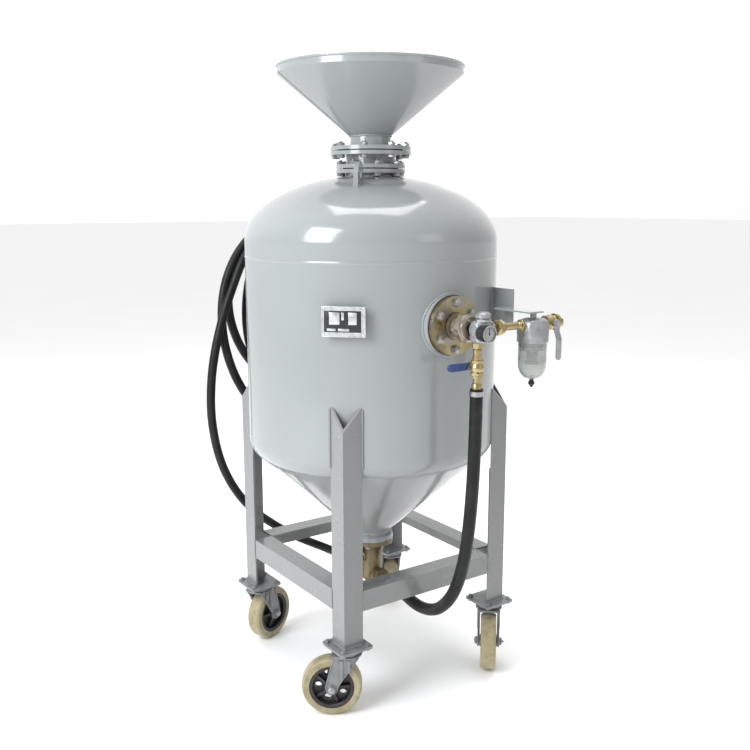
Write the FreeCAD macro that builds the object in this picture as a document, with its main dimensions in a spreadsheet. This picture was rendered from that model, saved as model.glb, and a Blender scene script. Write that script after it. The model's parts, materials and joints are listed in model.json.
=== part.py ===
import FreeCAD, Part
import math
import os
import re
import Sketcher

# Portable abrasive blasting pot: a domed pressure vessel with a conical bottom, carried by four
# folded-angle legs on swivel casters, with a filling funnel, an air inlet manifold, a bottom sand
# valve, a pusher hose and a long blast hose hung on a saddle behind the vessel.
# Millimetres, +Z up.  The origin is on the floor, under the vessel's axis; the air inlet faces -Y.

Vector = FreeCAD.Vector
Rotation = FreeCAD.Rotation
Placement = FreeCAD.Placement

SIZES = {
    # vessel
    "tank_radius": 350, "shell_wall": 6, "seam_height": 1195, "head_skirt": 40, "head_depth": 175,
    "cylinder_bottom": 690, "cone_bottom": 392, "outlet_radius": 57, "knuckle_radius": 60,
    "weld_width": 8, "weld_proud": 1.5,
    # frame of folded angle
    "frame_half": 275, "angle_width": 58, "angle_wall": 5, "leg_bottom": 194, "leg_top": 773,
    "rail_top": 343, "rail_height": 56,
    # casters
    "caster_centre": 248, "plate_side": 100, "plate_wall": 6, "race_radius": 34, "race_height": 15.7,
    "kingpin_radius": 8, "running_gap": 0.05, "fork_gap": 50, "fork_wall": 4, "fork_trail": 42,
    "crown_wall": 6, "wheel_radius": 80, "wheel_width": 44, "tread_wall": 20, "hub_radius": 18,
    "hub_length": 48, "web_wall": 10, "axle_radius": 6,
    # filler stack
    "neck_radius": 70, "neck_wall": 6, "neck_bottom": 1372, "neck_top": 1415, "flange_wall": 10,
    "low_flange_radius": 95.5, "gasket_wall": 3, "spool_radius": 67.5, "spool_height": 45,
    "high_flange_radius": 111, "funnel_neck_radius": 56, "funnel_neck_height": 38,
    "funnel_rim_radius": 252.5, "funnel_height": 210, "rim_band": 20, "sheet_wall": 4,
    "flange_bolt_radius": 6, "low_bolt_circle": 84, "high_bolt_circle": 97,
    # pop-up filling valve and its air pipe
    "seat_inner": 48, "seat_height": 12, "popup_radius": 58, "popup_height": 44, "popup_travel": 29.5,
    "stem_radius": 13.95, "stem_length": 125, "air_pipe_radius": 21, "air_pipe_bore": 14,
    "air_pipe_top": 1310,
    # air inlet and manifold
    "inlet_height": 1032, "pad_radius": 79, "pad_face": 360, "cover_radius": 75, "cover_wall": 15,
    "inlet_bolt_circle": 59, "inlet_bore": 20, "manifold_reach": 458,
    "nipple_radius": 21, "union_radius": 39,
    "regulator_width": 56, "regulator_depth": 44, "regulator_height": 52, "gauge_radius": 20,
    "gauge_face": 505, "filter_centre": 186, "filter_width": 76, "filter_depth": 60,
    "filter_height": 62, "bowl_radius": 36, "bowl_length": 96,
    # ball valves: levers, and the claw coupling at the air inlet
    "lever_face": 26.4, "lever_wall": 4, "lever_width": 18, "lever_stem": 4,
    "inlet_lever_length": 94, "drop_lever_length": 68, "claw_radius": 22, "claw_wall": 7,
    # drop line and bottom valve
    "drop_valve_height": 938, "hose_top": 886, "valve_height": 250, "valve_reach": 84,
    "outlet_flange_radius": 62.5, "outlet_flange_wall": 14, "knob_rise": 56, "knob_radius": 22,
    "barb_length": 24,
    # hoses
    "pusher_radius": 16.5, "blast_radius": 13.5,
    "nozzle_side": 160, "nozzle_reach": 521, "nozzle_top": 930,
    # saddle that carries the coiled hose
    "saddle_radius": 90, "saddle_height": 1190, "saddle_reach": 505, "saddle_wall": 5,
    "saddle_lip": 39, "saddle_arm_wall": 8,
}

CORNERS = {"front": (-1, -1), "right": (1, -1), "rear": (1, 1), "left": (-1, 1)}
# which way each caster trails, in degrees from +X
TRAILS = {"front": 145, "right": -132, "rear": 61, "left": 22}
FRONT_DIAGONAL = -135

ALONG_Z = Rotation()
ALONG_X = Rotation(Vector(0, 1, 0), 90)
ALONG_Y = Rotation(Vector(1, 0, 0), -90)
TOWARDS_MINUS_Y = Rotation(Vector(1, 0, 0), 90)
TOWARDS_MINUS_X = Rotation(Vector(0, 1, 0), -90)
DOWN = Rotation(Vector(1, 0, 0), 180)
STEPS = {"+x": ALONG_X, "-x": TOWARDS_MINUS_X, "+y": ALONG_Y, "-y": TOWARDS_MINUS_Y,
         "+z": ALONG_Z, "-z": DOWN}

# hexagon bolts, as multiples of the shank's radius
HEAD_HEIGHT = 1.4
HEAD_CORNER = 1.8
BOLT_END = 0.56

doc = FreeCAD.newDocument("BlastPot")
sheet = doc.addObject("Spreadsheet::Sheet", "Sizes")
for row, (alias, number) in enumerate(SIZES.items(), start=1):
    sheet.set(f"A{row}", alias)
    sheet.set(f"B{row}", str(number))
    sheet.setAlias(f"B{row}", alias)
doc.recompute()

subparts = []


# ---------------------------------------------------------------- helpers

def bound(expression):
    """The expression with each alias read from the sheet."""
    def qualified(word):
        return "Sizes." + word.group() if word.group() in SIZES else word.group()
    return re.sub(r"[a-z_]+", qualified, str(expression))


def value(expression):
    """What an expression of sheet aliases comes to, as a plain number."""
    return float(sheet.evalExpression(str(expression)))


def keep(shape_object, label):
    """Name a finished sub-part; its label is its file's name."""
    shape_object.Label = label
    subparts.append(shape_object)
    return shape_object


def outline(body, plane, corners):
    """A closed outline whose corners are (across, up) pairs of sheet expressions."""
    sketch = body.newObject("Sketcher::SketchObject", "Outline")
    support = next(item for item in body.Origin.OriginFeatures if item.Role == plane)
    sketch.AttachmentSupport = [(support, "")]
    sketch.MapMode = "FlatFace"
    points = [Vector(value(across), value(up), 0) for across, up in corners]
    count = len(points)
    for index in range(count):
        sketch.addGeometry(Part.LineSegment(points[index], points[(index + 1) % count]))
    for index in range(count):
        sketch.addConstraint(Sketcher.Constraint("Coincident", index, 2, (index + 1) % count, 1))
    for index, pair in enumerate(corners):
        for kind, expression in zip(("DistanceX", "DistanceY"), pair):
            number = sketch.addConstraint(
                Sketcher.Constraint(kind, -1, 1, index, 1, value(expression)))
            sketch.setExpression(f"Constraints[{number}]", bound(expression))
    return sketch


def revolved(name, corners):
    """A body turned about Z from an outline of (radius, height) corners."""
    body = doc.addObject("PartDesign::Body", name)
    sketch = outline(body, "XZ_Plane", corners)
    turned = body.newObject("PartDesign::Revolution", "Turned")
    turned.Profile = sketch
    turned.ReferenceAxis = (sketch, ["V_Axis"])
    turned.Angle = 360
    return body


def padded(name, plane, corners, length):
    """A body padded from an outline on one of its own planes."""
    body = doc.addObject("PartDesign::Body", name)
    sketch = outline(body, plane, corners)
    pad = body.newObject("PartDesign::Pad", "Pad")
    pad.Profile = sketch
    pad.setExpression("Length", bound(length))
    return body


def primitive(kind, name, sizes, place=("0", "0", "0"), turn=ALONG_Z):
    """A Part primitive whose sizes and place are sheet expressions."""
    solid = doc.addObject("Part::" + kind, name)
    solid.Placement = Placement(Vector(), turn)
    for prop, expression in sizes.items():
        solid.setExpression(prop, bound(expression))
    for axis, expression in zip("xyz", place):
        solid.setExpression("Placement.Base." + axis, bound(expression))
    return solid


def cylinder(name, radius, length, place=("0", "0", "0"), turn=ALONG_Z):
    return primitive("Cylinder", name, {"Radius": radius, "Height": length}, place, turn)


def block(name, low, size, turn=ALONG_Z):
    sizes = dict(zip(("Length", "Width", "Height"), size))
    return primitive("Box", name, sizes, low, turn)


def hexagon(name, radius, length, place, turn):
    return primitive("Prism", name, {"Circumradius": radius, "Height": length}, place, turn)


def fused(name, solids):
    if len(solids) == 1:
        return solids[0]
    joined = doc.addObject("Part::MultiFuse", name)
    joined.Shapes = solids
    return joined


def cut(name, base, tools):
    result = doc.addObject("Part::Cut", name)
    result.Base = base
    result.Tool = fused(name + "_tools", tools)
    return result


def stack(name, start, step, rings, bore=None):
    """Coaxial rings one after the other from start: (shape, radius, length) each."""
    axis = "xyz".index(step[1])
    offset = "0"
    solids = []
    for index, (shape, radius, length) in enumerate(rings):
        place = list(start)
        place[axis] = f"{start[axis]} {step[0]} ({offset})"
        label = f"{name}_ring_{index}"
        if shape == "hex":
            solids.append(hexagon(label, radius, length, place, STEPS[step]))
        elif shape == "taper":
            sizes = {"Radius1": radius[0], "Radius2": radius[1], "Height": length}
            solids.append(primitive("Cone", label, sizes, place, STEPS[step]))
        else:
            solids.append(cylinder(label, radius, length, place, STEPS[step]))
        offset += " + " + length
    whole = fused(name + "_whole", solids)
    if bore is None:
        return whole
    return cut(name + "_bored", whole, [cylinder(name + "_bore", bore, offset, start, STEPS[step])])


def group(label, shapes):
    """Separate solids that share one node."""
    feature = doc.addObject("Part::Feature", label)
    feature.Shape = Part.makeCompound(shapes)
    feature.Placement = Placement()
    return feature


def around_z(shape, count, start=0):
    """Copies of a shape spread evenly round Z."""
    copies = []
    for index in range(count):
        copy = shape.copy()
        copy.rotate(Vector(), Vector(0, 0, 1), start + 360 * index / count)
        copies.append(copy)
    return copies


def hexagon_outline(radius):
    """Face of the head or nut that suits a bolt of this radius."""
    corner = HEAD_CORNER * radius
    return Part.Face(Part.makePolygon([
        Vector(corner * math.cos(math.radians(60 * k)), corner * math.sin(math.radians(60 * k)), 0)
        for k in range(7)]))


def bolt(radius, grip, centre, direction):
    """Hexagon bolt: head under the start of its grip, nut over the end."""
    head = HEAD_HEIGHT * radius
    solid = Part.makeCylinder(radius, grip + 2 * head + BOLT_END * radius, Vector(0, 0, -head))
    hexagon_face = hexagon_outline(radius)
    for low in (-head, grip):
        nut = hexagon_face.extrude(Vector(0, 0, head))
        nut.translate(Vector(0, 0, low))
        solid = solid.fuse(nut)
    solid = solid.removeSplitter()
    solid.Placement = Placement(centre, Rotation(Vector(0, 0, 1), direction))
    return solid


# ---------------------------------------------------------------- frame

def leg(corner, side_x, side_y):
    """Folded angle leg, its fold outwards: cut down to the fold, and notched for the shell."""
    name = "leg_" + corner
    angle = padded(name + "_angle", "XY_Plane", [
        ("0", "0"), ("angle_width", "0"), ("angle_width", "angle_wall"),
        ("angle_wall", "angle_wall"), ("angle_wall", "angle_width"), ("0", "angle_width")],
        "leg_top - leg_bottom + angle_width")
    half_size = 200
    depth = 150
    slope = Rotation(Vector(0, 0, 1), Vector(-1, -1, 1))
    waste = block(name + "_waste", ("0", "0", "0"), (str(2 * half_size), str(2 * half_size), str(depth)))
    for axis in "xyz":
        waste.setExpression("Placement.Base." + axis, None)
    low = slope.multVec(Vector(-half_size, -half_size, 0))
    waste.Placement = Placement(low + Vector(0, 0, value("leg_top - leg_bottom")), slope)
    solid = cut(name + "_mitred", angle, [waste])
    turns = {(-1, -1): 0, (1, -1): 90, (1, 1): 180, (-1, 1): 270}
    solid.Placement = Placement(Vector(), Rotation(Vector(0, 0, 1), turns[side_x, side_y]))
    solid.setExpression("Placement.Base.x", bound(f"{side_x} * frame_half"))
    solid.setExpression("Placement.Base.y", bound(f"{side_y} * frame_half"))
    solid.setExpression("Placement.Base.z", bound("leg_bottom"))
    vessel = cylinder(name + "_vessel", "tank_radius", "leg_top - cylinder_bottom + 200",
                      ("0", "0", "cylinder_bottom - 90"))
    keep(cut(name, solid, [vessel]), name)


def rail(name, turn):
    """Folded angle rail between two legs: upright flange outside, flat flange on top."""
    body = padded(name, "YZ_Plane", [
        ("0", "-rail_height"), ("angle_wall", "-rail_height"), ("angle_wall", "-angle_wall"),
        ("rail_height", "-angle_wall"), ("rail_height", "0"), ("0", "0")],
        "2 * (frame_half - angle_width)")
    half_length = value("frame_half - angle_width")
    rotation = Rotation(Vector(0, 0, 1), turn)
    low = Vector(-half_length, -value("frame_half"), value("rail_top"))
    body.Placement = Placement(rotation.multVec(low), rotation)
    keep(body, name)


# ---------------------------------------------------------------- casters

def caster_places():
    centre = value("caster_centre")
    return {corner: Vector(x * centre, y * centre, 0) for corner, (x, y) in CORNERS.items()}


def caster_plates():
    """Top plates with their swivel races and four bolts each, one set under every leg."""
    side = value("plate_side")
    top = value("leg_bottom")
    wall = value("plate_wall")
    bolt_radius = 4
    bolt_inset = 12
    shapes = []
    for place in caster_places().values():
        plate = Part.makeBox(side, side, wall, Vector(-side / 2, -side / 2, top - wall))
        uprights = [edge for edge in plate.Edges if abs(edge.tangentAt(edge.FirstParameter).z) > 0.9]
        plate = plate.makeFillet(8, uprights)
        race = Part.makeCylinder(value("race_radius"), value("race_height"),
                                 Vector(0, 0, top - wall - value("race_height")))
        lip = Part.makeCylinder(value("race_radius + 5"), 5, Vector(0, 0, top - wall - 5))
        socket = Part.makeCylinder(value("kingpin_radius + running_gap"), value("race_height") - 3,
                                   Vector(0, 0, top - wall - value("race_height")))
        plate = plate.fuse(race).fuse(lip).cut(socket).removeSplitter()
        bolts = []
        reach = side / 2 - bolt_inset
        for x, y in CORNERS.values():
            bolts.append(bolt(bolt_radius, wall, Vector(x * reach, y * reach, top - wall),
                              Vector(0, 0, 1)))
        holes = [Part.makeCylinder(bolt_radius, wall, Vector(x * reach, y * reach, top - wall))
                 for x, y in CORNERS.values()]
        plate = plate.cut(holes)
        for shape in [plate] + bolts:
            shape.translate(place)
            shapes.append(shape)
    keep(group("caster_plates", shapes), "caster_plates")


def caster_fork(corner, place):
    """Fork with a kingpin and an axle bolt, built trailing along +X, then turned."""
    gap = value("fork_gap")
    wall = value("fork_wall")
    trail = value("fork_trail")
    axle_height = value("wheel_radius")
    crown_top = value("leg_bottom - plate_wall - race_height") - 0.3
    crown_low = crown_top - value("crown_wall")
    crown_radius = 36
    back = 30
    eye = 15
    crown = Part.makeCylinder(crown_radius, value("crown_wall"), Vector(0, 0, crown_low))
    tongue = Part.makeBox(back + trail, gap, value("crown_wall"), Vector(-back, -gap / 2, crown_low))
    pin = Part.makeCylinder(value("kingpin_radius"), value("race_height") - 4, Vector(0, 0, crown_top))
    fork = crown.fuse([tongue, pin])
    cheek = Part.Face(Part.Wire([
        Part.makeLine(Vector(-back, 0, crown_top), Vector(crown_radius, 0, crown_top)),
        Part.makeLine(Vector(crown_radius, 0, crown_top), Vector(trail + eye, 0, axle_height)),
        Part.Arc(Vector(trail + eye, 0, axle_height), Vector(trail, 0, axle_height - eye),
                 Vector(trail - eye, 0, axle_height)).toShape(),
        Part.makeLine(Vector(trail - eye, 0, axle_height), Vector(-back, 0, crown_top))]))
    for low in (-gap / 2 - wall, gap / 2):
        side = cheek.extrude(Vector(0, wall, 0))
        side.translate(Vector(0, low, 0))
        fork = fork.fuse(side)
    radius = value("axle_radius")
    hole = Part.makeCylinder(radius, gap + 4 * wall, Vector(trail, -gap / 2 - 2 * wall, axle_height),
                             Vector(0, 1, 0))
    fork = fork.cut(hole).removeSplitter()
    axle = bolt(radius, gap + 2 * wall, Vector(trail, -gap / 2 - wall, axle_height), Vector(0, 1, 0))
    feature = group("caster_fork_" + corner, [fork, axle])
    feature.Placement = Placement(place, Rotation(Vector(0, 0, 1), TRAILS[corner]))
    keep(feature, "caster_fork_" + corner)


def wheel_core(corner, rim_radius):
    """Cast wheel centre: rim band, web with round windows, ribs and a bored hub."""
    name = "wheel_core_" + corner
    body = revolved(name + "_casting", [
        ("axle_radius + running_gap", "-hub_length / 2"), ("hub_radius", "-hub_length / 2"),
        ("hub_radius + 3", "-web_wall / 2"), (f"{rim_radius} - 8", "-web_wall / 2"),
        (f"{rim_radius} - 5", "-wheel_width / 2 + 3"), (rim_radius, "-wheel_width / 2 + 3"),
        (rim_radius, "wheel_width / 2 - 3"), (f"{rim_radius} - 5", "wheel_width / 2 - 3"),
        (f"{rim_radius} - 8", "web_wall / 2"), ("hub_radius + 3", "web_wall / 2"),
        ("hub_radius", "hub_length / 2"), ("axle_radius + running_gap", "hub_length / 2")])
    windows = []
    window_count = 5
    window_circle = 36
    for index in range(window_count):
        turn = f"{360 / window_count * index} deg"
        windows.append(cylinder(f"{name}_window_{index}", "9.5", "web_wall + 2", (
            f"{window_circle} * cos({turn})", f"{window_circle} * sin({turn})", "-web_wall / 2 - 1")))
    return cut(name, body, windows)


def wheel(corner, place):
    """Cast centre and tread, both turned to roll about the fork's axle."""
    rim_radius = "wheel_radius - tread_wall"
    name = "wheel_tread_" + corner
    core = wheel_core(corner, rim_radius)
    tread = revolved(name, [
        (rim_radius, "-wheel_width / 2"), ("wheel_radius - 6", "-wheel_width / 2"),
        ("wheel_radius - 1.5", "-wheel_width / 2 + 5"), ("wheel_radius", "-wheel_width / 2 + 12"),
        ("wheel_radius", "wheel_width / 2 - 12"), ("wheel_radius - 1.5", "wheel_width / 2 - 5"),
        ("wheel_radius - 6", "wheel_width / 2"), (rim_radius, "wheel_width / 2")])
    heading = Rotation(Vector(0, 0, 1), TRAILS[corner])
    centre = place + heading.multVec(Vector(value("fork_trail"), 0, value("wheel_radius")))
    for solid, label in ((core, "wheel_core_" + corner), (tread, name)):
        solid.Placement = Placement(centre, heading.multiply(ALONG_Y))
        keep(solid, label)


# ---------------------------------------------------------------- vessel

def top_head():
    """2:1 elliptical head with a straight skirt, open where the neck passes through."""
    seam = "seam_height + head_skirt"
    outer = fused("head_outer", [
        primitive("Ellipsoid", "head_dome", {"Radius1": "head_depth", "Radius2": "tank_radius",
                                             "Angle1": "0"}, ("0", "0", seam)),
        cylinder("head_skirt_outer", "tank_radius", "head_skirt", ("0", "0", "seam_height"))])
    inner = [
        primitive("Ellipsoid", "head_hollow", {
            "Radius1": "head_depth - shell_wall", "Radius2": "tank_radius - shell_wall",
            "Angle1": "-90"}, ("0", "0", seam)),
        cylinder("head_skirt_inner", "tank_radius - shell_wall", "head_skirt",
                 ("0", "0", "seam_height")),
        cylinder("head_opening", "neck_radius", "head_depth", ("0", "0", seam))]
    keep(cut("top_head", outer, inner), "top_head")


def tank_shell():
    """Rolled cylinder with a proud weld at its top seam, open at the air inlet."""
    inner = "tank_radius - shell_wall"
    barrel = revolved("tank_barrel", [
        (inner, "cylinder_bottom"), ("tank_radius", "cylinder_bottom"),
        ("tank_radius", "seam_height - weld_width"),
        ("tank_radius + weld_proud", "seam_height - weld_width / 2"),
        ("tank_radius", "seam_height"), (inner, "seam_height")])
    hole = cylinder("tank_inlet_hole", "inlet_bore", "tank_radius", ("0", "0", "inlet_height"),
                    TOWARDS_MINUS_Y)
    keep(cut("tank_shell", barrel, [hole]), "tank_shell")


def circle_edges(shape, radius, height):
    """Names of the circular edges of one radius at one height."""
    names = []
    for index, edge in enumerate(shape.Edges, start=1):
        curve = edge.Curve
        if isinstance(curve, Part.Circle) and abs(curve.Radius - radius) < 0.01 \
                and abs(curve.Center.z - height) < 0.01:
            names.append(f"Edge{index}")
    return names


def bottom_cone():
    """Conical bottom with a rounded knuckle under the cylinder and a short outlet collar."""
    inner = "tank_radius - shell_wall"
    skirt = "cylinder_bottom - 32"
    collar = "cone_bottom - outlet_flange_wall"
    body = revolved("bottom_cone", [
        (inner, "cylinder_bottom"), ("tank_radius", "cylinder_bottom"), ("tank_radius", skirt),
        ("outlet_radius", "cone_bottom"), ("outlet_radius", collar),
        ("outlet_radius - shell_wall", collar), ("outlet_radius - shell_wall", "cone_bottom + 3"),
        (inner, skirt + " + 2")])
    doc.recompute()
    turned = body.Tip
    outer_edges = circle_edges(turned.Shape, value("tank_radius"), value(skirt))
    knuckle = body.newObject("PartDesign::Fillet", "Knuckle")
    knuckle.Base = (turned, outer_edges)
    knuckle.setExpression("Radius", bound("knuckle_radius"))
    doc.recompute()
    inner_edges = circle_edges(knuckle.Shape, value(inner), value(skirt + " + 2"))
    hollow = body.newObject("PartDesign::Fillet", "KnuckleInside")
    hollow.Base = (knuckle, inner_edges)
    hollow.setExpression("Radius", bound("knuckle_radius - shell_wall"))
    body.Tip = hollow
    keep(body, "bottom_cone")


def bolted_ring(name, base, circle, low, start=0):
    """Cut eight bolt holes through the flange whose lower face is at low."""
    hole = Part.makeCylinder(value("flange_bolt_radius"), value("flange_wall"),
                             Vector(value(circle), 0, value(low)))
    return cut(name, base, [group(name + "_holes", around_z(hole, 8, start))])


def filler_neck():
    """Neck pipe through the head with the lower filler flange."""
    inner = "neck_radius - neck_wall"
    body = revolved("filler_neck_blank", [
        (inner, "neck_bottom"), ("neck_radius", "neck_bottom"), ("neck_radius", "neck_top"),
        ("low_flange_radius", "neck_top"), ("low_flange_radius", "neck_top + flange_wall"),
        (inner, "neck_top + flange_wall")])
    keep(bolted_ring("filler_neck", body, "low_bolt_circle", "neck_top", 22.5), "filler_neck")


def filler_spool():
    """Short flanged spool between the neck and the funnel, with its lower gasket's thickness."""
    low = "neck_top + flange_wall + gasket_wall"
    high = f"{low} + spool_height"
    inner = "spool_radius - neck_wall"
    body = revolved("filler_spool_blank", [
        (inner, low), ("low_flange_radius", low), ("low_flange_radius", low + " + flange_wall"),
        ("spool_radius", low + " + flange_wall"), ("spool_radius", high + " - flange_wall"),
        ("high_flange_radius", high + " - flange_wall"), ("high_flange_radius", high),
        (inner, high)])
    lower = bolted_ring("filler_spool_lower", body, "low_bolt_circle", low, 22.5)
    both = bolted_ring("filler_spool", lower, "high_bolt_circle", high + " - flange_wall")
    keep(both, "filler_spool")


def gaskets():
    """Flat rubber gaskets under both flange pairs."""
    low = "neck_top + flange_wall"
    inner = "spool_radius - neck_wall"
    high = low + " + gasket_wall + spool_height"
    rings = []
    for height, outer in ((low, value("low_bolt_circle - 8")), (high, value("high_bolt_circle - 8"))):
        ring = Part.makeCylinder(outer, value("gasket_wall"), Vector(0, 0, value(height)))
        hole = Part.makeCylinder(value(inner), value("gasket_wall"), Vector(0, 0, value(height)))
        rings.append(ring.cut(hole))
    keep(group("filler_gaskets", rings), "filler_gaskets")


def funnel():
    """Sheet funnel on its own bolted flange, with a rolled rim band."""
    base = "neck_top + 2 * gasket_wall + flange_wall + spool_height"
    inner = "funnel_neck_radius - sheet_wall"
    cone_low = base + " + funnel_neck_height"
    top = base + " + flange_wall + funnel_height"
    body = revolved("funnel_blank", [
        (inner, base), ("high_flange_radius", base), ("high_flange_radius", base + " + flange_wall"),
        ("funnel_neck_radius", base + " + flange_wall"), ("funnel_neck_radius", cone_low),
        ("funnel_rim_radius", top + " - rim_band"), ("funnel_rim_radius", top),
        ("funnel_rim_radius - sheet_wall", top),
        ("funnel_rim_radius - sheet_wall", top + " - rim_band + 1.5"),
        (inner, cone_low + " + 1.5")])
    keep(bolted_ring("funnel", body, "high_bolt_circle", base), "funnel")


def flange_bolts():
    """M12 hexagon bolts: through both filler flange pairs, and six into the inlet pad."""
    grip = value("2 * flange_wall + gasket_wall")
    low = value("neck_top")
    high = value("neck_top + gasket_wall + spool_height")
    radius = value("flange_bolt_radius")
    lower = bolt(radius, grip, Vector(value("low_bolt_circle"), 0, low), Vector(0, 0, 1))
    upper = bolt(radius, grip, Vector(value("high_bolt_circle"), 0, high), Vector(0, 0, 1))
    bolts = around_z(lower, 8, 22.5) + around_z(upper, 8) + inlet_screws()
    keep(group("flange_bolts", bolts), "flange_bolts")


def lifting_lugs():
    """Two eye plates on the head, on the diagonal through the front leg."""
    solids = []
    for side, turn in (("front", FRONT_DIAGONAL), ("rear", FRONT_DIAGONAL + 180)):
        name = "lug_" + side
        plate = block(name + "_plate", ("130", "-6", "1350"), ("80", "12", "62"))
        crown = cylinder(name + "_crown", "40", "12", ("170", "6", "1400"), TOWARDS_MINUS_Y)
        eye = cylinder(name + "_eye", "13", "20", ("170", "10", "1411"), TOWARDS_MINUS_Y)
        dome = primitive("Ellipsoid", name + "_dome", {
            "Radius1": "head_depth", "Radius2": "tank_radius", "Angle1": "-90"},
            ("0", "0", "seam_height + head_skirt"))
        lug = cut(name, fused(name + "_blank", [plate, crown]), [eye, dome])
        lug.Placement = Placement(Vector(), Rotation(Vector(0, 0, 1), turn))
        solids.append(lug)
    joined = doc.addObject("Part::Compound", "lifting_lugs")
    joined.Links = solids
    keep(joined, "lifting_lugs")


def nameplate():
    """Standoff bracket on the shell and the blank plate riveted to it."""
    turn = Placement(Vector(), Rotation(Vector(0, 0, 1), FRONT_DIAGONAL))
    low = "inlet_height - 14"
    web = block("bracket_web", ("tank_radius + 16", "-48", low), ("2", "96", "64"))
    flanges = [block(f"bracket_flange_{index}", ("tank_radius - 20", place, low), ("38", "2", "64"))
               for index, place in enumerate(("-48", "46"))]
    shell = cylinder("bracket_shell", "tank_radius", "200", ("0", "0", "inlet_height - 80"))
    bracket = cut("nameplate_bracket", fused("bracket_blank", [web] + flanges), [shell])
    bracket.Placement = turn
    keep(bracket, "nameplate_bracket")
    plate = block("nameplate_sheet", ("tank_radius + 18", "-55", low + " - 6"), ("1.5", "110", "76"))
    rivets = [cylinder(f"rivet_{y}_{z}", "2.5", "2", ("tank_radius + 19.5", f"{y} * 50",
                                                      f"{low} + 32 + {z} * 33"), ALONG_X)
              for y in (-1, 1) for z in (-1, 1)]
    whole = fused("nameplate", [plate] + rivets)
    whole.Placement = turn
    keep(whole, "nameplate")


def popup_valve():
    """Pop-up cone on its stem; it rises to close the filler from below."""
    base = "neck_bottom - seat_height + 8.5 - popup_travel - (popup_radius - seat_inner) - 5"
    body = revolved("popup_valve", [
        ("0", base + " - stem_length"), ("stem_radius", base + " - stem_length"),
        ("stem_radius", base), ("popup_radius", base), ("popup_radius", base + " + 5"),
        ("popup_radius - popup_height + 5", base + " + popup_height"),
        ("0", base + " + popup_height")])
    keep(body, "popup_valve")


def popup_seat():
    """Rubber seat ring moulded inside the lower end of the neck."""
    inner = "neck_radius - neck_wall"
    low = "neck_bottom - seat_height + 9.2"
    body = revolved("popup_seat", [
        ("seat_inner", low), (inner + " + 4", low), (inner + " + 4", "neck_bottom"),
        (inner, "neck_bottom"), (inner, "neck_bottom + 9"), ("seat_inner + 5", "neck_bottom + 9")])
    keep(body, "popup_seat")


def popup_air_pipe():
    """Air pipe from the inlet to the axis and up, which guides and lifts the pop-up valve."""
    across = cylinder("air_pipe_across", "air_pipe_radius - 1.2", "tank_radius - shell_wall - 4",
                      ("0", "0", "inlet_height"), TOWARDS_MINUS_Y)
    upright = cylinder("air_pipe_upright", "air_pipe_radius", "air_pipe_top - inlet_height + 30",
                       ("0", "0", "inlet_height - 30"))
    flow = [cylinder("air_pipe_flow_across", "air_pipe_bore", "tank_radius",
                     ("0", "0", "inlet_height"), TOWARDS_MINUS_Y),
            cylinder("air_pipe_flow_up", "air_pipe_bore", "air_pipe_top - inlet_height + 20",
                     ("0", "0", "inlet_height - 20"))]
    keep(cut("popup_air_pipe", fused("air_pipe_blank", [across, upright]), flow), "popup_air_pipe")


# ---------------------------------------------------------------- air inlet and manifold

def facing_minus_y(shape):
    """Turn a shape built about +Z at the origin to point along -Y at the inlet's height."""
    copy = shape.copy()
    copy.Placement = Placement(Vector(0, 0, value("inlet_height")), TOWARDS_MINUS_Y).multiply(
        copy.Placement)
    return copy


def inlet_flanges():
    """Pad welded to the shell and the cover flange bolted to it."""
    hole = Part.makeCylinder(value("flange_bolt_radius"), value("cover_wall") + 40,
                             Vector(value("inlet_bolt_circle"), 0, value("pad_face") - 25))
    holes = [facing_minus_y(item) for item in around_z(hole, 6, 30)]
    pad = cylinder("pad_blank", "pad_radius", "40", ("0", "-(pad_face - 40)", "inlet_height"),
                   TOWARDS_MINUS_Y)
    shell = cylinder("pad_shell", "tank_radius", "400", ("0", "0", "inlet_height - 200"))
    bore = cylinder("pad_bore", "inlet_bore", "400", ("0", "0", "inlet_height"), TOWARDS_MINUS_Y)
    keep(cut("inlet_pad", pad, [shell, bore, group("pad_holes", holes)]), "inlet_pad")
    cover = stack("cover_blank", ("0", "-pad_face", "inlet_height"), "-y",
                  [("round", "cover_radius", "cover_wall"), ("round", "34", "4")], "inlet_bore - 6")
    keep(cut("inlet_cover", cover, [group("cover_holes", holes)]), "inlet_cover")


def inlet_screws():
    """The six bolts that hold the inlet cover, turned to face -Y."""
    circle = value("inlet_bolt_circle")
    radius = value("flange_bolt_radius")
    cover_face = value("pad_face + cover_wall")
    thread = value("cover_wall") + 9
    washer_wall = 1.6
    head = hexagon_outline(radius).extrude(Vector(0, 0, HEAD_HEIGHT * radius))
    head.translate(Vector(circle, 0, cover_face))
    washer = Part.makeCylinder(1.9 * radius, washer_wall, Vector(circle, 0, cover_face))
    shank = Part.makeCylinder(radius, thread, Vector(circle, 0, cover_face - thread))
    screw = shank.fuse([head, washer]).removeSplitter()
    return [facing_minus_y(item) for item in around_z(screw, 6, 30)]


def inlet_union():
    """Nipple and large hexagon union between the cover flange and the tee."""
    solid = stack("inlet_union", ("0", "-(pad_face + cover_wall + 4)", "inlet_height"), "-y", [
        ("round", "nipple_radius", "20"), ("round", "30", "6"), ("hex", "union_radius", "24"),
        ("round", "31", "5")], "air_pipe_bore")
    keep(solid, "inlet_union")


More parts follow.
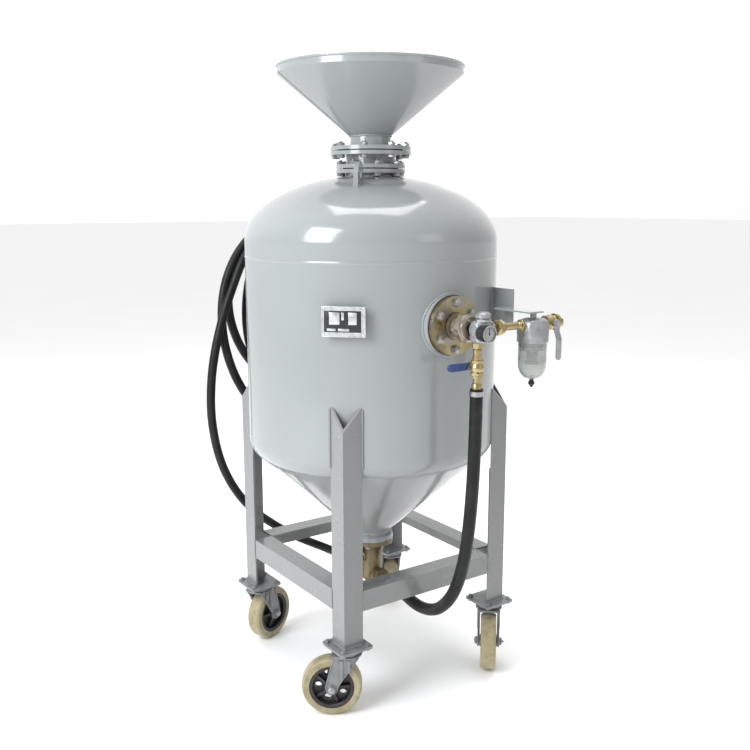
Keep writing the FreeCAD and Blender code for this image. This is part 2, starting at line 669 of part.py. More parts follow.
def regulator():
    """Cast regulator body with its hexagon bonnet and the ribbed knob on top."""
    low = "inlet_height - 32"
    rear = "-(manifold_reach + 26)"
    body = block("regulator_block", ("-14", rear, low),
                 ("regulator_width", "regulator_depth", "regulator_height"))
    port = stack("regulator_port", ("14", "-manifold_reach - 4", low + " + regulator_height"), "+z", [
        ("hex", "20", "6"), ("round", "12", "3")])
    keep(fused("regulator_body", [body, port]), "regulator_body")
    knob = stack("regulator_knob", ("14", "-manifold_reach - 4", low + " + regulator_height + 9.3"),
                 "+z", [("round", "17", "9"), ("taper", ("17", "13"), "4")])
    ribs = []
    for index in range(12):
        angle = math.radians(30 * index)
        place = (f"14 + {17 * math.cos(angle):.3f}", f"-manifold_reach - 4 + {17 * math.sin(angle):.3f}",
                 low + " + regulator_height + 9.3")
        ribs.append(cylinder(f"knob_rib_{index}", "1.2", "9", place))
    keep(fused("regulator_knob_ribbed", [knob] + ribs), "regulator_knob")


def gauge():
    """Round pressure gauge facing -Y and its needle on a pivot in front of the dial."""
    start = "-(manifold_reach + 26)"
    face = "gauge_face + " + start
    case = stack("gauge_case_blank", ("-1", start, "inlet_height - 6"), "-y",
                 [("round", "9", "3"), ("round", "gauge_radius", face + " - 3")])
    dish = cylinder("gauge_dish", "gauge_radius - 2", "4", ("-1", "-gauge_face + 4", "inlet_height - 6"),
                    TOWARDS_MINUS_Y)
    pivot_hole = cylinder("gauge_pivot_hole", "1.05", "10",
                          ("-1", "-gauge_face + 10", "inlet_height - 6"), TOWARDS_MINUS_Y)
    keep(cut("gauge_case", case, [dish, pivot_hole]), "gauge_case")
    hub = cylinder("needle_hub", "2.5", "0.8", ("-1", "-gauge_face + 3.2", "inlet_height - 6"),
                   TOWARDS_MINUS_Y)
    pin = cylinder("needle_pin", "1", "7", ("-1", "-gauge_face + 9", "inlet_height - 6"),
                   TOWARDS_MINUS_Y)
    pointer = block("needle_pointer", ("-1.6", "-gauge_face + 2.4", "inlet_height - 11"),
                    ("1.2", "0.8", "19"))
    needle = fused("gauge_needle", [hub, pin, pointer])
    keep(needle, "gauge_needle")


def manifold_fittings():
    """Brass nipples: regulator to filter, filter to inlet valve, and down to the drop valve."""
    line = ("-manifold_reach", "inlet_height")
    to_filter = stack("nipple_filter", ("42", *line), "+x", [
        ("round", "10", "12"), ("hex", "21", "26"), ("round", "10", "filter_centre"
         " - filter_width / 2 - 80")], "7")
    to_valve = stack("nipple_valve", ("filter_centre + filter_width / 2", *line), "+x", [
        ("hex", "19", "5")], "7")
    drop = stack("nipple_drop", ("0", "-manifold_reach", "inlet_height - 32"), "-z", [
        ("hex", "14", "14"), ("round", "11", "inlet_height - 32 - 14 - drop_valve_height - 24")], "7")
    compound = doc.addObject("Part::Compound", "manifold_fittings")
    compound.Links = [to_filter, to_valve, drop]
    keep(compound, "manifold_fittings")


def air_filter():
    """Filter head, clear bowl and drain cock under it."""
    y = "-manifold_reach"
    top = "inlet_height + 16"
    low = top + " - filter_height"
    head = block("filter_block", ("filter_centre - filter_width / 2", y + " - filter_depth / 2",
                                  low + " + 14"),
                 ("filter_width", "filter_depth", "filter_height - 14"))
    collar = cylinder("filter_collar", "bowl_radius + 3", "14", ("filter_centre", y, low))
    socket = cylinder("filter_socket", "bowl_radius - 5", "34", ("filter_centre", y, low))
    whole = fused("filter_head_blank", [head, collar])
    keep(cut("filter_head", whole, [socket]), "filter_head")
    bowl = stack("bowl_outer", ("filter_centre", y, low), "-z", [
        ("round", "bowl_radius", "bowl_length - 30"),
        ("taper", ("bowl_radius", "bowl_radius - 8"), "18"),
        ("taper", ("bowl_radius - 8", "10"), "12")])
    hollow = stack("bowl_hollow", ("filter_centre", y, low), "-z", [
        ("round", "bowl_radius - 3", "bowl_length - 32"),
        ("taper", ("bowl_radius - 3", "bowl_radius - 11"), "16"),
        ("taper", ("bowl_radius - 11", "6.05"), "11"), ("round", "6.05", "10")])
    keep(cut("filter_bowl", bowl, [hollow]), "filter_bowl")
    drain = stack("drain_cock", ("filter_centre", y, low + " - bowl_length + 6"), "-z", [
        ("round", "6", "6"), ("round", "7.5", "9"), ("round", "4", "6")])
    drain.setExpression("Placement.Base.z", "-0.3")
    keep(drain, "drain_cock")


def filter_bracket():
    """Upright plate from the shell and a flat strap over the filter head with its post."""
    plate = block("bracket_plate", ("196", "-371", "inlet_height - 12"),
                  ("4", "110", "93"))
    shell = cylinder("bracket_tank", "tank_radius", "300", ("0", "0", "inlet_height - 100"))
    strap = block("bracket_strap", ("150", "-manifold_reach - 22", "inlet_height + 30"),
                  ("50", "manifold_reach + 22 - 345", "4"))
    post = cylinder("bracket_post", "8", "14", ("filter_centre", "-manifold_reach", "inlet_height + 16"))
    keep(cut("filter_bracket", fused("bracket_blank_two", [plate, strap, post]), [shell]),
         "filter_bracket")


def ball_valve(name, start, step, radius, end, middle):
    """Ball valve barrel between its two hexagon ends."""
    return stack(name + "_barrel", start, step, [
        ("hex", radius, end), ("round", radius, middle), ("hex", radius, end)])


def inlet_valve():
    """Air inlet ball valve with a claw coupling on its end; the lever hangs down when shut."""
    x = "filter_centre + filter_width / 2 + 5"
    centre = x + " + 14"
    line = ("-manifold_reach", "inlet_height")
    body = ball_valve("inlet_valve", (x, *line), "+x", "20", "6", "16")
    boss = cylinder("inlet_valve_boss", "7", "26", (centre, *line), TOWARDS_MINUS_Y)
    claw = stack("claw_body", (x + " + 28", *line), "+x", [
        ("round", "14", "4"), ("round", "claw_radius", "claw_wall")])
    lugs = [block(f"claw_lug_{index}", (x + " + 32 + claw_wall", "-manifold_reach - 6", low),
                  ("6", "12", "8"))
            for index, low in enumerate(("inlet_height + claw_radius - 9",
                                         "inlet_height - claw_radius + 1"))]
    whole = fused("inlet_valve_blank", [body, boss, claw] + lugs)
    bore = cylinder("inlet_valve_bore", "10", "80", (x, *line), ALONG_X)
    pin_hole = cylinder("inlet_stem_hole", "lever_stem + running_gap", "20",
                        (centre, "-manifold_reach - 8", "inlet_height"), TOWARDS_MINUS_Y)
    keep(cut("inlet_valve_body", whole, [bore, pin_hole]), "inlet_valve_body")
    lever("inlet_valve_lever", (centre, "inlet_height"), "-", "-z", "inlet_lever_length")


def lever(name, centre, side, way, length):
    """Flat lever on its stem and nut, on one side of the line, pointing along way when shut."""
    x, z = centre
    turn = TOWARDS_MINUS_Y if side == "-" else ALONG_Y
    face = f"-manifold_reach {side} lever_face"
    outer = f"-manifold_reach {side} (lever_face + lever_wall)"
    low = outer if side == "-" else face
    half = "lever_width / 2"
    run = f"({length} - {half})"
    stem = cylinder(name + "_stem", "lever_stem", "22", (x, f"-manifold_reach {side} 10", z), turn)
    nut = hexagon(name + "_nut", "7", "5", (x, outer, z), turn)
    hub = cylinder(name + "_hub", "11", "lever_wall", (x, face, z), turn)
    if way == "-z":
        tip = (x, face, f"{z} - {run}")
        blade = block(name + "_blade", (f"{x} - {half}", low, f"{z} - {run}"),
                      ("lever_width", "lever_wall", run))
    else:
        tip = (f"{x} - {run}", face, z)
        blade = block(name + "_blade", (f"{x} - {run}", low, f"{z} - {half}"),
                      (run, "lever_wall", "lever_width"))
    end = cylinder(name + "_end", half, "lever_wall", tip, turn)
    keep(fused(name, [stem, nut, hub, blade, end]), name)


def drop_valve():
    """Pusher line ball valve with a hose barb below; its lever lies level behind it when shut."""
    centre = "drop_valve_height"
    body = ball_valve("drop_valve", ("0", "-manifold_reach", centre + " + 20"), "-z", "17", "9", "22")
    boss = cylinder("drop_valve_boss", "7", "26", ("0", "-manifold_reach", centre), ALONG_Y)
    barb = stack("drop_valve_barb", ("0", "-manifold_reach", centre + " - 20"), "-z", [
        ("round", "13", "drop_valve_height - 20 - hose_top"), ("round", "10", "30")])
    link = cylinder("drop_valve_tail", "11", "5", ("0", "-manifold_reach", centre + " + 19"))
    bore = cylinder("drop_valve_bore", "7", "120", ("0", "-manifold_reach", centre + " - 80"))
    pin_hole = cylinder("drop_stem_hole", "lever_stem + running_gap", "20",
                        ("0", "-manifold_reach + 8", centre), ALONG_Y)
    whole = fused("drop_valve_blank", [body, boss, barb, link])
    keep(cut("drop_valve_body", whole, [bore, pin_hole]), "drop_valve_body")
    lever("drop_valve_lever", ("0", centre), "+", "-x", "drop_lever_length")


# ---------------------------------------------------------------- outlet

def outlet():
    """Outlet flange on the cone's collar."""
    low = "cone_bottom - 2 * outlet_flange_wall"
    solid = stack("outlet_flange", ("0", "0", low), "+z",
                  [("round", "outlet_flange_radius", "outlet_flange_wall")], "outlet_radius - 12")
    keep(solid, "outlet_flange")


def sand_valve():
    """Cast metering valve: top flange, barrel, cross tube with hose barbs, and its knob."""
    low = "cone_bottom - 3 * outlet_flange_wall"
    top = stack("sand_valve_top", ("0", "0", low), "+z",
                [("round", "outlet_flange_radius", "outlet_flange_wall")])
    barrel = stack("sand_valve_barrel", ("0", "0", "valve_height"), "+z", [
        ("round", "31", low + " - valve_height - 14"), ("taper", ("31", "44"), "14")])
    cross = stack("sand_valve_cross", ("0", "-(valve_reach - 22)", "valve_height"), "+y", [
        ("hex", "27", "18"), ("round", "24", "2 * valve_reach - 80"), ("hex", "27", "18")])
    barbs = stack("sand_valve_barbs", ("0", "-(valve_reach + barb_length)", "valve_height"), "+y", [
        ("round", "10", "barb_length"), ("round", "15", "2 * valve_reach"),
        ("round", "8.5", "barb_length")])
    side = ("0", "0", "valve_height + knob_rise")
    boss = cylinder("sand_valve_boss", "13", "44", side, TOWARDS_MINUS_X)
    throat = cylinder("sand_valve_throat", "16", "200", ("0", "0", "valve_height"))
    bore = cylinder("sand_valve_bore", "7", "400", ("0", "-200", "valve_height"), ALONG_Y)
    stem_hole = cylinder("sand_valve_stem_hole", "6 + running_gap", "60", side, TOWARDS_MINUS_X)
    whole = fused("sand_valve_blank", [top, barrel, cross, barbs, boss])
    keep(cut("sand_valve_body", whole, [throat, bore, stem_hole]), "sand_valve_body")
    knob = stack("sand_valve_knob", ("-20", "0", "valve_height + knob_rise"), "-x", [
        ("round", "6", "24.4"), ("round", "9", "4"), ("round", "knob_radius", "14"),
        ("taper", ("knob_radius", "knob_radius - 4"), "4")])
    keep(knob, "sand_valve_knob")


# ---------------------------------------------------------------- hoses

def route_wire(points):
    """Straight runs joined by tangent arcs, each as large as its two runs allow."""
    edges = []
    start = points[0]
    radii = []
    for before, corner, after in zip(points, points[1:], points[2:]):
        arrive = (corner - before).normalize()
        leave = (after - corner).normalize()
        half_turn = arrive.getAngle(leave) / 2
        reach = 0.45 * min((corner - before).Length, (after - corner).Length)
        radius = reach / math.tan(half_turn)
        radii.append(radius)
        first = corner - arrive * reach
        last = corner + leave * reach
        inward = (leave - arrive).normalize()
        middle = corner + inward * (radius / math.cos(half_turn) - radius)
        edges.append(Part.LineSegment(start, first).toShape())
        edges.append(Part.Arc(first, middle, last).toShape())
        start = last
    edges.append(Part.LineSegment(start, points[-1]).toShape())
    return Part.Wire(edges), radii


def hose_tube(name, points, radius):
    """A hose swept along its route; prints how its bends and its volume compare."""
    wire, radii = route_wire([Vector(*point) for point in points])
    direction = Vector(*points[1]) - Vector(*points[0])
    section = Part.Wire([Part.makeCircle(radius, Vector(*points[0]), direction)])
    solid = Part.Wire(wire.Edges).makePipeShell([section], True, False)
    expected = math.pi * radius ** 2 * wire.Length
    print(f"{name}: length {wire.Length:.0f}, volume ratio {solid.Volume / expected:.4f},",
          "bend radii in diameters", [round(item / radius / 2, 1) for item in radii])
    return solid


PUSHER_ROUTE = [
    (0, -458, 886), (0, -457, 800), (0, -454, 702), (0, -447.5, 600), (0, -437, 505),
    (0, -421, 420), (0, -396, 346), (0, -359, 288), (0, -309, 245), (0, -252, 228),
    (0, -202, 230), (0, -162, 240), (0, -123, 248), (0, -84, 250)]

BLAST_ROUTE = [
    (0, 84, 250), (-1, 140, 250), (-8, 202, 252), (-27, 264, 257), (-58, 320, 268),
    (-96, 367, 291), (-136, 396, 322), (-176, 409, 358), (-214, 412, 402), (-252, 412, 460),
    (-284, 412, 530), (-305, 412, 612), (-315, 412, 702), (-311, 412, 795), (-297, 412, 880),
    (-277, 412, 955), (-255, 412, 1020)]

TAIL_ROUTE = [
    (42, 462, 1290), (84, 478, 1276), (119, 496, 1246), (142, 510, 1202), (154, 517, 1146),
    (158, 519, 1080), (160, 520, 1006), (160, 521, 930)]


def hoses():
    """The pusher hose, the blast hose's two free stretches, its coil and its nozzle."""
    pusher = hose_tube("pusher_hose", PUSHER_ROUTE, value("pusher_radius"))
    keep(group("pusher_hose", [pusher]), "pusher_hose")
    radius = value("blast_radius")
    lead = hose_tube("blast_hose lead", BLAST_ROUTE, radius)
    tail = hose_tube("blast_hose tail", TAIL_ROUTE, radius)
    keep(group("blast_hose", [lead, tail]), "blast_hose")


def coil():
    """Closed solid of the hanging turns: between a large and a smaller oval."""
    low, high = 392, 484
    outer_oval = (276, 355, 954.5)  # half width, half height, height of the centre
    inner_oval = (152, 275.5, 1006)
    rings = []
    for half_width, half_height, centre in (outer_oval, inner_oval):
        oval = Part.Ellipse(Vector(0, 0, 0), half_height, half_width).toShape()
        face = Part.Face(Part.Wire([oval]))
        face.rotate(Vector(), Vector(0, 0, 1), 90)
        face.rotate(Vector(), Vector(1, 0, 0), 90)
        face.translate(Vector(0, low, centre))
        rings.append(face.extrude(Vector(0, high - low, 0)))
    keep(group("blast_hose_coil", [rings[0].cut(rings[1])]), "blast_hose_coil")


def nozzle():
    """Blast nozzle with its holder, hanging at the end of the hose."""
    solid = stack("blast_nozzle", ("nozzle_side", "nozzle_reach", "nozzle_top"), "-z", [
        ("round", "19", "50"), ("hex", "23", "20"), ("round", "17", "30"),
        ("taper", ("17", "12"), "55")])
    bore = cylinder("nozzle_bore", "5", "80", ("nozzle_side", "nozzle_reach", "nozzle_top - 160"))
    keep(cut("blast_nozzle_bored", solid, [bore]), "blast_nozzle")


def saddle():
    """Curved saddle behind the vessel with an upturned lip, carried by a bracket arm."""
    reach = "saddle_reach - tank_radius + 6"
    root = ("0", "tank_radius - 6", "saddle_height")
    outer = cylinder("saddle_outer", "saddle_radius", reach, root, ALONG_Y)
    inner = cylinder("saddle_inner", "saddle_radius - saddle_wall", reach, root, ALONG_Y)
    below = block("saddle_below", ("-200", "300", "saddle_height - 200"), ("400", "300", "240"))
    arch = cut("saddle_arch", outer, [inner, below])
    rim = ("0", "saddle_reach - saddle_wall", "saddle_height")
    lip = cylinder("saddle_lip_disc", "saddle_radius - saddle_wall + saddle_lip", "saddle_wall", rim,
                   ALONG_Y)
    lip_hole = cylinder("saddle_lip_hole", "saddle_radius - saddle_wall", "saddle_wall", rim, ALONG_Y)
    lip_below = block("saddle_lip_below", ("-200", "300", "saddle_height - 200"), ("400", "300", "285"))
    lip_solid = cut("saddle_lip_cut", lip, [lip_hole, lip_below])
    arm = block("saddle_arm", ("-saddle_arm_wall / 2", "tank_radius - 20", "saddle_height - 20"),
                ("saddle_arm_wall", "saddle_reach - tank_radius + 10", "saddle_radius + 17"))
    notch = block("saddle_notch", ("-10", "tank_radius + 30", "saddle_height - 60"),
                  ("20", "200", "60"))
    weld_gap = block("saddle_weld_gap", ("-10", "tank_radius - 10", "seam_height - 6"),
                     ("20", "13", "12"))
    shell = cylinder("saddle_shell", "tank_radius", "400", ("0", "0", "saddle_height - 200"))
    whole = fused("saddle_blank", [arch, lip_solid, arm])
    keep(cut("hose_saddle", whole, [shell, notch, weld_gap]), "hose_saddle")


def hose_clamps():
    """Band clamps where the hoses meet their barbs, each with its screw block."""
    shapes = []
    band_width = 12
    band_wall = 2
    block_sides = Vector(10, 12, 6)
    clamp_spots = [
        (Vector(0, -458, 874), Vector(0, 1, -86), value("pusher_radius")),
        (Vector(0, -96, 250), Vector(0, -39, -2), value("pusher_radius")),
        (Vector(0, 96, 250), Vector(-1, 56, 0), value("blast_radius"))]
    for centre, direction, radius in clamp_spots:
        way = Vector(direction).normalize()
        low = centre - way * band_width / 2
        band = Part.makeCylinder(radius + 0.2 + band_wall, band_width, low, way).cut(
            Part.makeCylinder(radius + 0.2, band_width, low, way))
        screw_block = Part.makeBox(*block_sides, Vector(-block_sides.x / 2, -block_sides.y / 2,
                                                        radius + band_wall))
        screw_block.Placement = Placement(centre, Rotation(Vector(0, 1, 0), way)).multiply(
            screw_block.Placement)
        shapes.append(band.fuse(screw_block).removeSplitter())
    keep(group("hose_clamps", shapes), "hose_clamps")


# ---------------------------------------------------------------- build, check and write

for corner, (side_x, side_y) in CORNERS.items():
    leg(corner, side_x, side_y)
for name, turn in (("rail_front", 0), ("rail_right", 90), ("rail_rear", 180), ("rail_left", 270)):
    rail(name, turn)
caster_plates()
for corner, place in caster_places().items():
    caster_fork(corner, place)
    wheel(corner, place)
for build in (top_head, tank_shell, bottom_cone, filler_neck, filler_spool, gaskets, funnel,
              flange_bolts, lifting_lugs, nameplate, popup_valve, popup_seat, popup_air_pipe,
              inlet_flanges, inlet_union, regulator, gauge, manifold_fittings, air_filter,
              filter_bracket, inlet_valve, drop_valve, outlet, sand_valve, hoses, coil, nozzle,
              saddle, hose_clamps):
    build()
doc.recompute()

faults = [item.Name for item in doc.Objects if "Invalid" in item.State or "Error" in item.State]
for item in subparts:
    if item.Shape.isNull() or not item.Shape.isValid() or not item.Shape.Solids:
        faults.append(item.Label)
if faults:
    raise RuntimeError("failed: " + ", ".join(faults))
os.makedirs("parts", exist_ok=True)
for item in subparts:
    item.Shape.exportStep(f"parts/{item.Label}.step")
print(len(subparts), "sub-parts written")
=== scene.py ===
import json
import math

import bmesh
import bpy
from mathutils import Matrix, Vector, noise


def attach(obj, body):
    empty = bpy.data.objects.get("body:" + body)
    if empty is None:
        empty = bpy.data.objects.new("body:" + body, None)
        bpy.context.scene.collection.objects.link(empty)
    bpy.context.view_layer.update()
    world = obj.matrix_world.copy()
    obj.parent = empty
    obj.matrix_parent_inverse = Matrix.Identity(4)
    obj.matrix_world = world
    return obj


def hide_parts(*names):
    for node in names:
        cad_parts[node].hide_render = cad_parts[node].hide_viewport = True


# Looks of a portable abrasive blasting pot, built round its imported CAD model.
# Metres, +Z up, origin on the floor under the vessel's axis, air inlet facing -Y.

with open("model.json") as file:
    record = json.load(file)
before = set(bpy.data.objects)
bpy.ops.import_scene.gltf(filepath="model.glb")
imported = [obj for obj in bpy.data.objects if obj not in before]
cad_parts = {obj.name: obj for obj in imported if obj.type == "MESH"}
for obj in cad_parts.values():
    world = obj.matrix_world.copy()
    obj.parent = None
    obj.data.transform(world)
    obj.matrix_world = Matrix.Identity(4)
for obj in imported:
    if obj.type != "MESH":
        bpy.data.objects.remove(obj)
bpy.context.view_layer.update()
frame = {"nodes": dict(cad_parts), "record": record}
nodes = frame["nodes"]

MM = 0.001
TO_METRES = Matrix.Scale(MM, 4)
TURN = 2 * math.pi
X_AXIS, Y_AXIS, Z_AXIS = Vector((1, 0, 0)), Vector((0, 1, 0)), Vector((0, 0, 1))
CORNERS = {"front": (-1, -1), "right": (1, -1), "rear": (1, 1), "left": (-1, 1)}


# ---------------- node helpers

def grey(level):
    return (level, level, level)


def scaled(colour, factor):
    return tuple(min(1, channel * factor) for channel in colour)


class Look:
    """A node material under construction: its tree, its shader and noise in object space."""

    def __init__(self, name):
        self.material = bpy.data.materials.new(name)
        self.material.use_nodes = True
        self.tree = self.material.node_tree
        self.tree.nodes.clear()
        output = self.tree.nodes.new("ShaderNodeOutputMaterial")
        self.shader = self.tree.nodes.new("ShaderNodeBsdfPrincipled")
        self.join(self.shader.outputs["BSDF"], output.inputs["Surface"])
        self.place = self.position()

    def join(self, source, target):
        self.tree.links.new(source, target)

    def drive(self, socket, source):
        """Feed one of the shader's sockets from a node."""
        self.join(source, self.shader.inputs[socket])

    def fix(self, socket, value):
        """Set one of the shader's sockets to a value that is the same all over."""
        self.shader.inputs[socket].default_value = value

    def position(self, stretch=(1, 1, 1)):
        """Object coordinates, stretched."""
        coordinates = self.tree.nodes.new("ShaderNodeTexCoord")
        mapping = self.tree.nodes.new("ShaderNodeMapping")
        mapping.inputs["Scale"].default_value = stretch
        self.join(coordinates.outputs["Object"], mapping.inputs["Vector"])
        return mapping.outputs["Vector"]

    def noise(self, scale, detail=3.0, roughness=0.5, place=None):
        texture = self.tree.nodes.new("ShaderNodeTexNoise")
        texture.inputs["Scale"].default_value = scale
        texture.inputs["Detail"].default_value = detail
        texture.inputs["Roughness"].default_value = roughness
        self.join(place or self.place, texture.inputs["Vector"])
        return texture.outputs["Fac"]

    def ramp(self, value, *stops):
        return colour_ramp(self.tree, value, stops)

    def mix(self, factor, first, colour):
        """Mix a colour socket with a plain colour by a factor socket."""
        node = self.tree.nodes.new("ShaderNodeMix")
        node.data_type = "RGBA"
        self.join(factor, node.inputs["Factor"])
        self.join(first, node.inputs[6])
        node.inputs[7].default_value = (*colour, 1)
        return node.outputs[2]

    def bumps(self, *layers):
        """Chain bump layers of (height, strength, distance) into the shader's normal."""
        normal = None
        for height, strength, distance in layers:
            bump = self.tree.nodes.new("ShaderNodeBump")
            bump.inputs["Strength"].default_value = strength
            bump.inputs["Distance"].default_value = distance
            self.join(height, bump.inputs["Height"])
            if normal is not None:
                self.join(normal, bump.inputs["Normal"])
            normal = bump.outputs["Normal"]
        self.drive("Normal", normal)


def colour_ramp(tree, value, stops):
    """A colour ramp through (position, colour) stops."""
    node = tree.nodes.new("ShaderNodeValToRGB")
    elements = node.color_ramp.elements
    while len(elements) < len(stops):
        elements.new(0.5)
    for element, (place, colour) in zip(elements, stops):
        element.position = place
        element.color = (*colour, 1)
    tree.links.new(value, node.inputs["Fac"])
    return node.outputs["Color"]


# ---------------- materials

def enamel(name, colour, grime, gloss):
    """Sprayed enamel: orange peel, faint clouding, dust and small stains."""
    look = Look(name)
    base = look.ramp(look.noise(2.5, 4), (0.3, scaled(colour, 0.94)), (0.7, scaled(colour, 1.03)))
    streaks = look.noise(3.0, 6, 0.65, look.position((9, 9, 0.9)))
    stain = look.ramp(streaks, (0.55, grey(0.0)), (0.85, grey(grime)))
    look.drive("Base Color", look.mix(stain, base, (0.36, 0.34, 0.30)))
    look.drive("Roughness", look.ramp(
        look.noise(14, 5), (0.35, grey(gloss * 0.85)), (0.75, grey(gloss * 1.5))))
    look.fix("Coat Weight", 0.35)
    look.fix("Coat Roughness", 0.08)
    look.bumps((look.noise(9, 2), 0.12, 0.004), (look.noise(260, 2), 0.05, 0.0006))
    return look.material


def metal(name, colour, roughness=0.3, tint=None, grain=(1, 1, 1)):
    """Bare or plated metal with fine tool marks, spots and an optional second tint."""
    look = Look(name)
    look.fix("Metallic", 1.0)
    base = look.ramp(look.noise(38, 5, 0.6),
                     (0.3, scaled(colour, 0.86)), (0.7, scaled(colour, 1.14)))
    if tint:
        base = look.mix(look.ramp(look.noise(24, 3), (0.42, grey(0)), (0.62, grey(1))), base, tint)
    spots = look.ramp(look.noise(220, 4, 0.7), (0.62, grey(0)), (0.78, grey(0.55)))
    look.drive("Base Color", look.mix(spots, base, scaled(colour, 0.45)))
    look.drive("Roughness", look.ramp(
        look.noise(90, 4), (0.3, grey(roughness * 0.75)), (0.7, grey(roughness * 1.5))))
    look.bumps((look.noise(420, 3, place=look.position(grain)), 0.14, 0.0005))
    return look.material


def cast(name, colour, metallic=0.6, roughness=0.5, grain_size=620, strength=0.35):
    """Cast or painted rough metal with pitted grain and rubbed high spots."""
    look = Look(name)
    look.fix("Metallic", metallic)
    look.drive("Base Color", look.ramp(
        look.noise(30, 5, 0.65), (0.3, scaled(colour, 0.78)), (0.72, scaled(colour, 1.22))))
    look.drive("Roughness", look.ramp(
        look.noise(60, 3), (0.3, grey(roughness * 0.8)), (0.7, grey(roughness * 1.3))))
    look.bumps((look.noise(grain_size, 4, 0.7), strength, 0.0006))
    return look.material


def plastic(name, colour, roughness=0.35, grain_size=900, strength=0.12, coat=0.0):
    """Moulded plastic with a fine grain and handling marks."""
    look = Look(name)
    look.drive("Base Color", look.ramp(
        look.noise(26, 4), (0.3, scaled(colour, 0.85)), (0.7, scaled(colour, 1.15))))
    look.drive("Roughness", look.ramp(
        look.noise(70, 5, 0.65), (0.3, grey(roughness * 0.8)), (0.75, grey(roughness * 1.4))))
    look.fix("Coat Weight", coat)
    look.bumps((look.noise(grain_size, 2), strength, 0.0003))
    return look.material


def tread_material():
    """Tan cast polyurethane, ambered and scuffed, with darker ground-in dirt."""
    look = Look("tan_tread")
    base = look.ramp(look.noise(16, 5, 0.6), (0.25, (0.24, 0.20, 0.105)),
                     (0.5, (0.36, 0.31, 0.185)), (0.8, (0.46, 0.41, 0.27)))
    dirt = look.ramp(look.noise(55, 6, 0.7), (0.52, grey(0)), (0.75, grey(0.7)))
    look.drive("Base Color", look.mix(dirt, base, (0.11, 0.095, 0.07)))
    look.fix("Roughness", 0.48)
    look.fix("Subsurface Weight", 0.08)
    look.fix("Subsurface Scale", 0.006)
    look.bumps((look.noise(130, 5, 0.7), 0.22, 0.0008))
    return look.material


def hose_material():
    """Black rubber hose with the spiral print of its curing wrap, dusted with abrasive."""
    look = Look("hose_wrap")
    wave = look.tree.nodes.new("ShaderNodeTexWave")
    wave.wave_type = "BANDS"
    wave.bands_direction = "DIAGONAL"
    wave.inputs["Scale"].default_value = 95
    wave.inputs["Distortion"].default_value = 0.6
    look.join(look.place, wave.inputs["Vector"])
    look.drive("Base Color", look.ramp(look.noise(22, 5, 0.6), (0.35, grey(0.006)),
                                       (0.62, grey(0.014)), (0.85, (0.040, 0.038, 0.034))))
    look.drive("Roughness", look.ramp(look.noise(40, 4), (0.3, grey(0.30)), (0.7, grey(0.50))))
    look.fix("Specular IOR Level", 0.25)
    look.bumps((wave.outputs["Fac"], 0.25, 0.0006), (look.noise(750, 2), 0.12, 0.0004))
    return look.material


def clear_material(name, colour, roughness, transmission):
    """Moulded clear plastic, slightly hazed and wiped."""
    look = Look(name)
    look.drive("Roughness", look.ramp(
        look.noise(16, 2), (0.35, grey(roughness * 0.85)), (0.75, grey(roughness * 1.3))))
    look.drive("Base Color", look.ramp(
        look.noise(12, 2), (0.3, scaled(colour, 0.95)), (0.7, colour)))
    look.fix("Transmission Weight", transmission)
    look.fix("IOR", 1.45)
    return look.material


MATERIALS = {
    "tank_paint": enamel("tank_enamel", (0.292, 0.312, 0.312), 0.08, 0.15),
    # The frame's enamel is the tank's paint made darker: painted shade standing in for the shade
    # on the frame.
    "frame_paint": enamel("frame_enamel_painted_shade", (0.215, 0.220, 0.220), 0.16, 0.22),
    "caster_steel": cast("caster_grey", (0.24, 0.245, 0.25), 0.35, 0.42, 300, 0.2),
    "wheel_iron": cast("wheel_casting", (0.036, 0.032, 0.034), 0.2, 0.38),
    "wheel_tread": tread_material(),
    "hose_rubber": hose_material(),
    "seal_rubber": plastic("seal_black", (0.025, 0.025, 0.025), 0.6),
    "bright_steel": metal("zinc_bright", (0.40, 0.41, 0.415), 0.36),
    "yellow_zinc": metal("zinc_yellow", (0.40, 0.345, 0.17), 0.3, (0.34, 0.30, 0.28)),
    "zinc_union": metal("zinc_pink", (0.50, 0.44, 0.38), 0.3, (0.44, 0.39, 0.30)),
    "brass": metal("brass_turned", (0.47, 0.39, 0.21), 0.3, (0.41, 0.33, 0.17)),
    "sand_brass": cast("brass_cast", (0.23, 0.185, 0.11), 0.85, 0.42),
    "cast_aluminium": cast("alloy_satin", (0.39, 0.40, 0.41), 0.75, 0.40, 800, 0.18),
    "clear_bowl": clear_material("bowl_clear", (0.74, 0.76, 0.74), 0.22, 0.8),
    "black_plastic": plastic("plastic_black", (0.018, 0.018, 0.019), 0.32),
    "blue_vinyl": plastic("vinyl_blue", (0.020, 0.060, 0.230), 0.30, 500, 0.15, 0.3),
    "plate_steel": metal("plate_satin", (0.62, 0.63, 0.63), 0.30, grain=(1, 1, 14)),
    "nozzle_steel": metal("nozzle_turned", (0.36, 0.37, 0.38), 0.33),
}


def finish_nodes():
    """Give every carried-over CAD node its slot's material."""
    for entry in frame["record"]["subparts"]:
        node = nodes[entry["node"]]
        material = MATERIALS[entry["material_slot"]]
        if not node.data.materials:
            node.data.materials.append(material)
        for index in range(len(node.data.materials)):
            node.data.materials[index] = material


# ---------------- hoses

PUSHER_DIAMETER = 0.033
BLAST_DIAMETER = 0.027

PUSHER_ROUTE = [
    (0, -458, 886), (0, -457, 800), (0, -454, 702), (0, -447.5, 600), (0, -437, 505),
    (0, -421, 420), (0, -396, 346), (0, -359, 288), (0, -309, 245), (0, -252, 228),
    (0, -202, 230), (0, -162, 240), (0, -123, 248), (0, -84, 250)]

